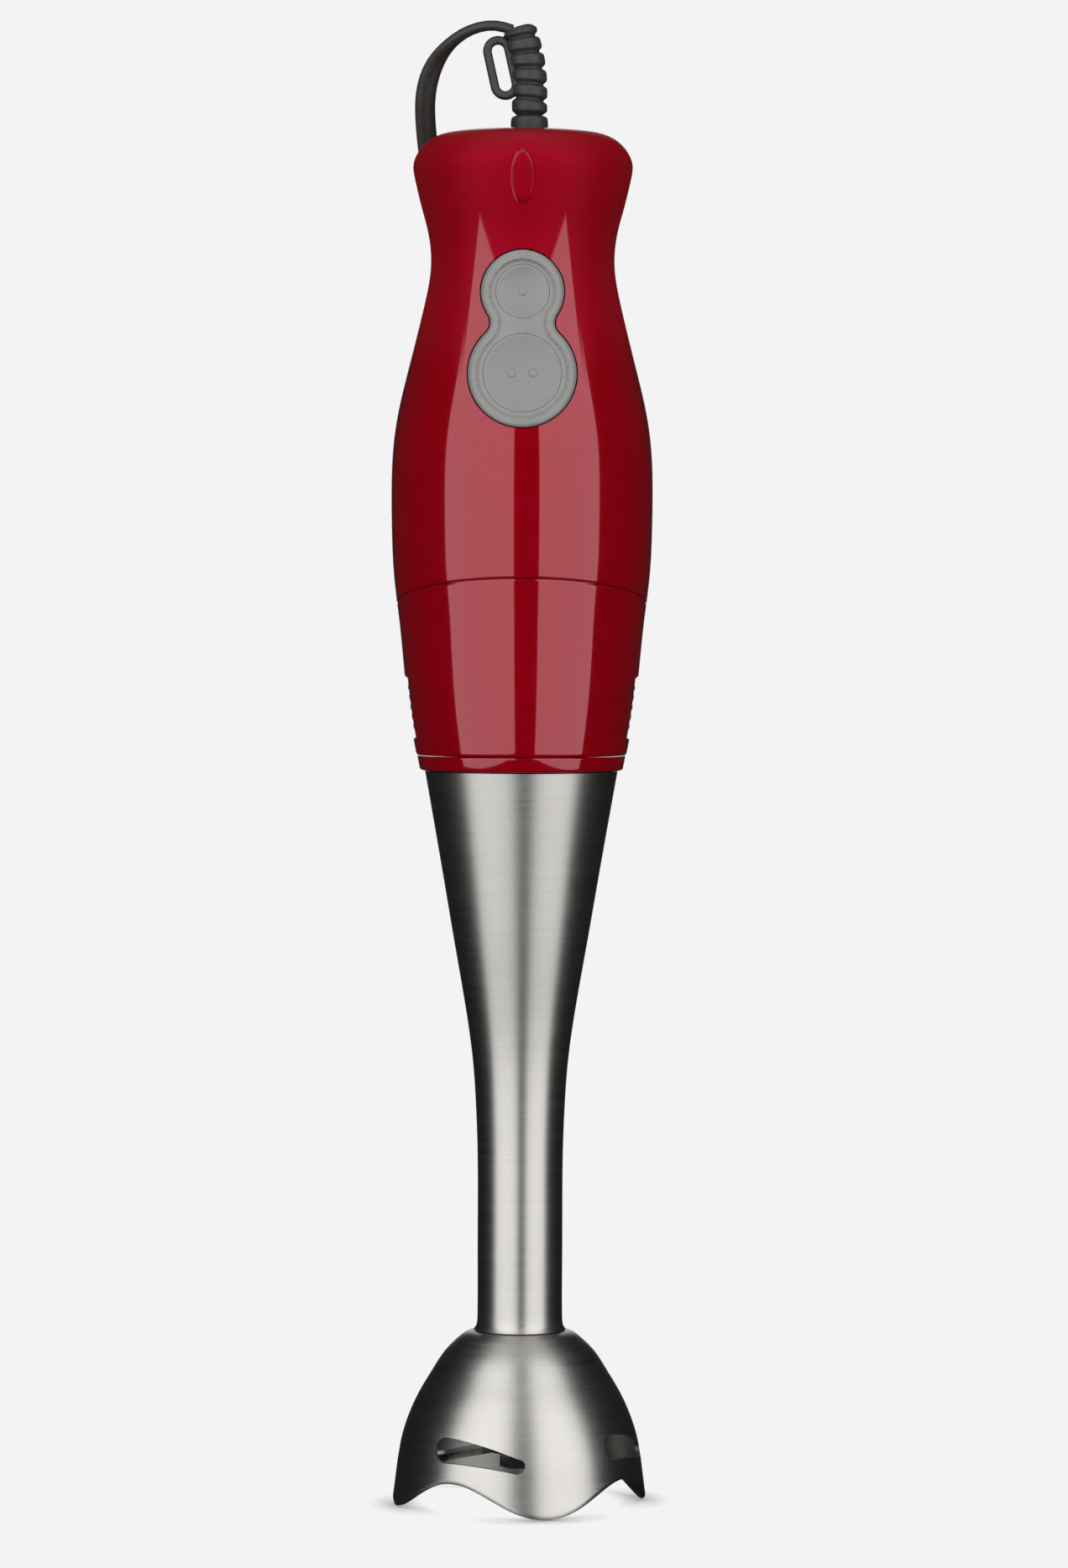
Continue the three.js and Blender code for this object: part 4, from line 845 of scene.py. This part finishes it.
def make_housing():
    """Section loops: the outer wall up to the seam, the inner wall down, then the floor ring."""
    azimuth = turns(240)
    end = seam_length(azimuth, -SEAM_GAP)
    share = (1 - np.cos(np.linspace(0, pi, 60)))[None, :] / 2
    s = share * end[:, None]
    outer_r, outer_z = on_outline(s)
    inner_r, inner_z = on_outline(s[:, 9:], WALL)
    roll = np.exp(-((s / ROLL_RUN) ** 2)) + np.exp(-(((end[:, None] - s) / ROLL_RUN) ** 2))
    outer_r = outer_r - EDGE_ROLL * roll
    outer = about_axis(outer_r, outer_z, azimuth[:, None])
    inner = about_axis(inner_r, inner_z, azimuth[:, None])
    floor_r = np.array([MOUTH_RADIUS, MOUTH_RADIUS, outer_r[0, 0] - 0.6])[None, :]
    floor_z = np.array([rim_z + 2, rim_z, rim_z])[None, :]
    floor = about_axis(floor_r, floor_z, azimuth[:, None])
    return solid_of_sections("motor_casing", np.concatenate([outer, inner[:, ::-1], floor], 1), True)


housing = make_housing()
for start, end in ((8, 60), (-60, -8)):
    window = oval(RELEASE_WIDE + GAP, RELEASE_TALL + GAP, 0, release_z, 128)
    combine(housing, bar(window, start, end, "x"), "DIFFERENCE")
dress(housing, "handle", "red_plastic", "motor_housing")

# %% Release buttons
DOT_PITCH, DOT_RADIUS, DOT_RISE = 2.5, 0.7, 0.12
CAP_THICK = 1.6
YOKE_IN, YOKE_OUT, YOKE_TALL = 20.2, 22.2, 3


def grip_dots(y, z):
    """Height of a staggered field of small domes within an oval."""
    row = np.round((z - release_z) / DOT_PITCH)
    shift = DOT_PITCH * 0.6 * (np.mod(row, 2) - 0.5)
    column = np.round((y - shift) / (DOT_PITCH * 1.2))
    centre_y, centre_z = column * DOT_PITCH * 1.2 + shift, release_z + row * DOT_PITCH
    away = np.hypot(y - centre_y, z - centre_z)
    kept = (centre_y / 13.5) ** 2 + ((centre_z - release_z) / 6.6) ** 2 < 1
    return np.where(kept, DOT_RISE * np.sqrt(np.clip(1 - (away / DOT_RADIUS) ** 2, 0, 1)), 0)


def release_cap(name, side):
    """An oval patch of the handle's skin with dots, closed behind by the same patch further in."""
    turn = turns(260)
    front = [(size, True) for size in [*np.linspace(0.01, 0.95, 68), 0.97, 0.985, 0.995, 1.0]]
    back = [(size, False) for size in (1.0, 0.8, 0.5, 0.2, 0.01)]
    rings = []
    for size, outside in front + back:
        y = RELEASE_WIDE * size * np.cos(turn)
        z = release_z + RELEASE_TALL * size * np.sin(turn)
        edge = 0.35 * float(np.clip((size - 0.95) / 0.05, 0, 1)) ** 2
        relief = grip_dots(y, z) - edge if outside else -CAP_THICK
        reach = handle_radius(z) - RELEASE_SINK + relief
        rings.append(stacked(side * np.sqrt(reach**2 - y**2), y, z))
    return solid_of_rings(name, np.array(rings))


def make_release(name, node, side, yoke_z):
    """The cap joined to its yoke, a ring that passes round the socket to the catch."""
    piece = release_cap(name, side)
    top = yoke_z + YOKE_TALL
    yoke = turned("tool", [(YOKE_IN, yoke_z), (YOKE_OUT, yoke_z), (YOKE_OUT, top), (YOKE_IN, top)], 90)
    cap_x = side * (float(handle_radius(yoke_z)) - CAP_THICK)
    for half, start, end in ((4, side * 21.4, cap_x), (3, -side * 20.9, -side * 16.6)):
        arm = [(-half, yoke_z), (half, yoke_z), (half, top), (-half, top)]
        combine(yoke, bar(arm, *sorted((start, end)), "x"), "UNION")
    combine(piece, yoke, "UNION")
    dress(piece, node, "red_plastic", node)


make_release("right_release", "release_button_right", 1, rim_z + 6.7)
make_release("left_release", "release_button_left", -1, rim_z + 13.7)

# %% [markdown]
# ## Button panel and speed buttons
# The soft grey panel stands a little proud, with a rolled rim, a fine line inside it and a field
# slightly lower than the rim. Its height depends only on how deep a point lies inside the
# outline. The buttons are dished, and carry one dot for slow and two for fast.

# %% Panel
UPPER_BUTTON, LOWER_BUTTON = 6.8, 9.9
BUTTON_GAP = 0.05
PANEL_PROUD, PANEL_ROLL = 0.5, 1.1
LINE_DEPTH, LINE_RISE, LINE_WIDE = 2.2, 0.24, 0.18
FIELD_DROP = 0.6
DOT_DOME, DOT_HEIGHT = 1.05, 0.5


def panel_height(x, z):
    """Rim roll from the edge, a fine raised line, then the lower field."""
    depth = inside_distance(x, z) - GAP
    roll = np.sqrt(np.clip(1 - (1 - np.clip(depth / PANEL_ROLL, 0, 1)) ** 2, 0, 1))
    line = LINE_RISE * np.exp(-(((depth - LINE_DEPTH) / LINE_WIDE) ** 2))
    field = FIELD_DROP * soft_step((depth - LINE_DEPTH + 0.1) / 0.8)
    return PANEL_PROUD - 0.85 * (1 - roll) + line - field


def make_panel():
    """A slab of the handle's skin over a fine square grid, cut to the outline and the buttons."""
    x = np.linspace(-LOWER_LOBE - 0.6, LOWER_LOBE + 0.6, 92)
    z = np.linspace(lower_z - LOWER_LOBE - 0.8, upper_z + UPPER_LOBE + 0.8, 150)
    gx, gz = np.meshgrid(x, z, indexing="ij")
    skin = np.sqrt((handle_radius(gz) + panel_height(gx, gz)) ** 2 - gx**2)
    back = np.sqrt((handle_radius(gz) - 3.0) ** 2 - gx**2)
    outer = stacked(gx, -skin, gz)
    inner = stacked(gx, -back, gz)
    sections = np.concatenate([outer, inner[:, ::-1]], 1)
    panel = solid_of_sections("soft_panel", sections, False)
    combine(panel, bar(figure_eight(-GAP), -60, -5, "y"), "INTERSECT")
    for z0, radius in ((upper_z, UPPER_BUTTON), (lower_z, LOWER_BUTTON)):
        hole = oval(radius + BUTTON_GAP, radius + BUTTON_GAP, 0, z0, 160)
        combine(panel, bar(hole, -60, -5, "y"), "DIFFERENCE")
    return panel


dress(make_panel(), "handle", "grey_rubber", "button_panel")

# %% Speed buttons
def make_button(name, node, z0, radius, dish, dots):
    """Rings round the button's centre: a dished face with domes for dots, a rounded edge, then
    the back and the stem that meets the switch."""
    turn = turns(200)
    rings = []
    rim = radius - np.array([0.7, 0.5, 0.3, 0.15, 0.04, 0])
    for rho in [*np.linspace(0.02, radius - 0.9, 70), *rim]:
        x, z = rho * np.cos(turn), z0 + rho * np.sin(turn)
        face = -0.08 - dish * (1 - (min(rho, radius - 0.6) / (radius - 0.6)) ** 2)
        edge = 0.14 * max(0.0, (rho - radius + 0.3) / 0.3) ** 2
        away = np.min([np.hypot(x - dx, z - z0) for dx in dots], axis=0)
        dome = DOT_HEIGHT * np.sqrt(np.clip(1 - (away / DOT_DOME) ** 2, 0, 1))
        y = -np.sqrt((handle_radius(z) + face - edge + dome) ** 2 - x**2)
        rings.append(stacked(x, y, z))
    back_y = -float(handle_radius(z0)) + 3.3
    stem_y = float(corners(node)[1][1])
    stem = [(2.6, back_y), (2.5, back_y + 0.1), (2.5, stem_y), (0.02, stem_y)]
    for rho, y in [(radius, back_y), *stem]:
        rings.append(stacked(rho * np.cos(turn), y, z0 + rho * np.sin(turn)))
    dress(solid_of_rings(name, np.array(rings)), node, "grey_rubber", node)


make_button("slow_button", "speed_one_button", upper_z, UPPER_BUTTON, 1.35, (0.0,))
make_button("fast_button", "speed_two_button", lower_z, LOWER_BUTTON, 1.9, (-2.65, 2.65))

# %% [markdown]
# ## The leg
# A red collar closes the top of the steel tube. The tube is a straight cone that runs into a
# slender stem, and the blade guard is a bell with four feet, wavy arches and four tapered slots.

# %% Collar
SPIGOT = 16.3
tube_low, tube_high = corners("leg_tube")
collar_low, collar_high = corners("leg_collar")
collar_bottom = tube_high[2] + GAP
collar_radius = (collar_high[0] - collar_low[0]) / 2
collar_top = rim_z - 2 * SEAM_GAP


def make_collar():
    """Closed profile: the flange with a rounded lower edge, the spigot and the bushing's hub."""
    turn = np.linspace(-pi / 2, -0.3, 8)
    edge = [(collar_radius - 1.25 + 0.7 * cos(a), collar_bottom + 0.7 + 0.7 * sin(a)) for a in turn]
    profile = [
        (8.5, collar_bottom), *edge, (edge[-1][0] + 0.05, edge[-1][1] + 0.15),
        (collar_radius - 0.05, collar_top - 0.5), (collar_radius, collar_top - 0.3),
        (collar_radius - 0.05, collar_top - 0.12), (collar_radius - 0.15, collar_top),
        (SPIGOT, collar_top), (SPIGOT, collar_high[2] - 0.6),
        (15.7, collar_high[2]), (14.3, collar_high[2]), (14.0, collar_high[2] - 0.3),
        (14.0, collar_top), (6.3, collar_top), (6.3, collar_low[2]), (8.2, collar_low[2]),
        (8.2, collar_bottom - 0.2),
    ]
    return turned("collar_ring", profile, 200)


dress(make_collar(), "leg", "red_plastic", "leg_collar")

# %% Steel tube
MOUTH, STEM, TUBE_WALL = 24.6, 10.85, 0.8
tube_stations = [
    (STEM + 0.9, tube_low[2]), (STEM + 0.3, tube_low[2] + 0.9), (STEM + 0.04, tube_low[2] + 2.4),
    (STEM, tube_low[2] + 4), (STEM, tube_low[2] + 20), (STEM, tube_low[2] + 38),
    (STEM + 0.12, tube_low[2] + 47), (STEM + 0.5, tube_low[2] + 57), (STEM + 1.3, tube_low[2] + 68.5),
    (STEM + 2.75, tube_low[2] + 79.5), (MOUTH - 7.4, tube_high[2] - 42.6),
    (MOUTH - 5.25, tube_high[2] - 30), (MOUTH - 2.65, tube_high[2] - 15), (MOUTH, tube_high[2]),
]


def make_tube():
    """The outline up and the same outline a wall inwards down, turned about the axis."""
    line = smooth_curve(tube_stations, 130)
    inner = line[::-1] - [TUBE_WALL, 0]
    return turned("steel_tube", np.vstack([line, inner]), 200, 50)


dress(make_tube(), "leg", "brushed_steel", "leg_tube")

# %% Blade guard
BELL = 32.6
BELL_WALL, BELL_BORE = 1.05, 10.05
NECK = 12.2
top_z = corners("blade_guard")[1][2]
bell_stations = [
    (NECK, top_z), (13.6, top_z - 0.45), (15.8, top_z - 2), (19.15, top_z - 5.4),
    (22.5, top_z - 10.5), (25.6, top_z - 15.7), (28.0, top_z - 20.8), (29.8, top_z - 26),
    (30.9, top_z - 31.1),
    (31.6, top_z - 36.3), (32.2, top_z - 41), (BELL, top_z - 44),
]
FOOT_AZIMUTH = 12.0
ARCH_HEIGHT = 8.2
SLOT_AZIMUTH = -20.0


def bell_edge(azimuth):
    """Height of the lower edge: a sine of twice the angle from a foot, to a power near two."""
    return ARCH_HEIGHT * np.abs(np.sin(2 * (azimuth - radians(FOOT_AZIMUTH)))) ** 2.1


def bowed(start, control, end):
    """A quadratic curve from start towards end, pulled by the control point."""
    t = np.linspace(0, 1, 16, endpoint=False)[:, None]
    curve = (1 - t) ** 2 * np.array(start) + 2 * t * (1 - t) * np.array(control)
    return curve + t**2 * np.array(end)


def slot_outline():
    """A tapered slot with round ends, bowed upwards."""
    wide_r, narrow_r, left, right = 3.2, 1.9, -9.2, 10.1
    wide_z, narrow_z = 16.4, 13.3
    low = bowed((left, wide_z - wide_r), (0, 13.5), (right, narrow_z - narrow_r))
    high = bowed((right, narrow_z + narrow_r), (0, 19.2), (left, wide_z + wide_r))
    return np.vstack([
        arc(left, wide_z, wide_r, pi / 2, 1.5 * pi, 20), low,
        arc(right, narrow_z, narrow_r, -pi / 2, pi / 2, 16), high,
    ])


def make_bell():
    """Section loops: the outside down to the wavy edge, then the inside back up to the neck."""
    line = smooth_curve(bell_stations, 400)
    s = lengths_along(line)
    azimuth = turns(360)
    end = np.interp(-bell_edge(azimuth), -line[:, 1], s)
    share = np.linspace(0, 1, 70)[None, :]
    places = share * end[:, None]
    r = np.interp(places, s, line[:, 0])
    z = np.interp(places, s, line[:, 1])
    z[:, -1] = bell_edge(azimuth)
    bevel = 0.3 * np.exp(-(((end[:, None] - places) / 0.25) ** 2))
    outer = about_axis(r - bevel, z, azimuth[:, None])
    inside_r = np.maximum(r[:, 2:] - BELL_WALL, BELL_BORE)
    inside_z = np.minimum(z[:, 2:], top_z - BELL_WALL)
    inner = about_axis(inside_r, inside_z, azimuth[:, None])
    neck = about_axis(BELL_BORE, np.array([[top_z - BELL_WALL, top_z]]), azimuth[:, None])
    walls = np.concatenate([outer, inner[:, ::-1], neck], 1)
    bell = solid_of_sections("steel_bell", walls, True, 50)
    for turn in range(4):
        tool = bar(slot_outline(), -60, -12, "y")
        angle = radians(SLOT_AZIMUTH) + turn * pi / 2
        tool.data.transform(Matrix.Rotation(angle, 4, "Z"))
        combine(bell, tool, "DIFFERENCE")
    return bell


dress(make_bell(), "leg", "brushed_steel", "blade_guard")

# %% [markdown]
# ## The cord's length
# The cord's length is printed once everything on it is made.

print("cord", round(float(cord_length)), "mm long, from the guard to the plug")

# %% [markdown]
# ## Floor and light
# Two tall soft boxes stand left and right of the camera, and everything past them is dark, so
# gloss and steel get two bright bands with dark edges. One box overhead and three behind lighten
# the crown and the back. The floor is pale and fades into the backdrop.

# %% Stage
BACKDROP = 0.896
FLOOR_RADIUS = 1.1
# the reach of the painted contact shadow on the floor
CONTACT = 0.007  # metres over which the floor darkens near the object


def make_floor():
    """A disc that glows like the backdrop, with a painted contact shadow that darkens it where the
    object almost touches it, and clear further out."""
    turn = turns(96)
    points = stacked(FLOOR_RADIUS * np.cos(turn), FLOOR_RADIUS * np.sin(turn) + 0.05, 0.0)
    mesh = bpy.data.meshes.new("floor")
    mesh.from_pydata(points.tolist(), [], [list(range(96))])
    floor = place("floor", mesh)
    floor.location.z = -0.0002
    material, tree = new_material("pale_floor")
    # painted contact shadow: ambient occlusion darkens the floor's glow near the object
    painted_contact_shade = add_node(tree, "AmbientOcclusion", {"Distance": CONTACT}).outputs["AO"]
    glow_with_painted_shadow = ramp(tree, maths(tree, "POWER", painted_contact_shade, 1.3), 0, 1, (0.1, BACKDROP), "LINEAR")
    pale = add_node(tree, "Emission", {"Strength": glow_with_painted_shadow}).outputs["Emission"]
    where = add_node(tree, "TexCoord").outputs["Object"]
    away = add_node(tree, "VectorMath", {0: where}, operation="LENGTH").outputs["Value"]
    clear = add_node(tree, "BsdfTransparent").outputs["BSDF"]
    mixed = add_node(tree, "MixShader", {"Fac": ramp(tree, away, 0.06, 0.42), 1: pale, 2: clear})
    feed(tree, tree.nodes["Material Output"], {"Surface": mixed.outputs["Shader"]})
    mesh.materials.append(material)
    floor.visible_glossy = False
    floor.visible_diffuse = False


def make_world():
    """The backdrop that the camera sees, and a darker surround for everything else."""
    world = bpy.data.worlds.new("studio")
    bpy.context.scene.world = world
    world.use_nodes = True
    tree = world.node_tree
    seen = tree.nodes["Background"]
    feed(tree, seen, {"Color": (BACKDROP, BACKDROP, BACKDROP, 1)})
    path = add_node(tree, "LightPath").outputs
    dim = ramp(tree, path["Is Glossy Ray"], 0, 1, (0.07, 0.012), "LINEAR")
    around = add_node(tree, "Background", {"Color": (1, 1, 1, 1), "Strength": dim})
    mixed = add_node(tree, "MixShader", {
        "Fac": path["Is Camera Ray"], 1: around.outputs["Background"],
        2: seen.outputs["Background"]})
    feed(tree, tree.nodes["World Output"], {"Surface": mixed.outputs["Shader"]})


def softbox(name, azimuth, distance, height, size, radiance, tilt=0.0, glossy=True):
    """An area light that faces the drive axis. Its power is pi times area times radiance."""
    data = bpy.data.lights.new(name, "AREA")
    data.shape = "RECTANGLE"
    data.size, data.size_y = size
    data.energy = pi * size[0] * size[1] * radiance
    lamp = place(name, data)
    angle = radians(azimuth)
    lamp.location = (distance * sin(angle), -distance * cos(angle), height)
    lamp.rotation_euler = (pi / 2 + radians(tilt), 0, angle)
    lamp.visible_camera = False
    lamp.visible_glossy = glossy


make_floor()
make_world()
softbox("left_box", -38.8, 1.1, 0.87, (1.367, 2.5), 2.0)
softbox("right_box", 43, 1.1, 0.87, (1.17, 2.5), 2.0)
softbox("top_box", 0, 0.1, 1.3, (1.1, 1.2), 0.6, tilt=-88)
softbox("rim_box", 180, 1.3, 0.55, (0.5, 1.1), 0.8)
softbox("rear_left", -135, 1.4, 0.5, (0.9, 1.2), 1.0, glossy=False)
softbox("rear_right", 135, 1.4, 0.5, (0.9, 1.2), 1.0, glossy=False)
bpy.context.scene.view_settings.view_transform = "Standard"
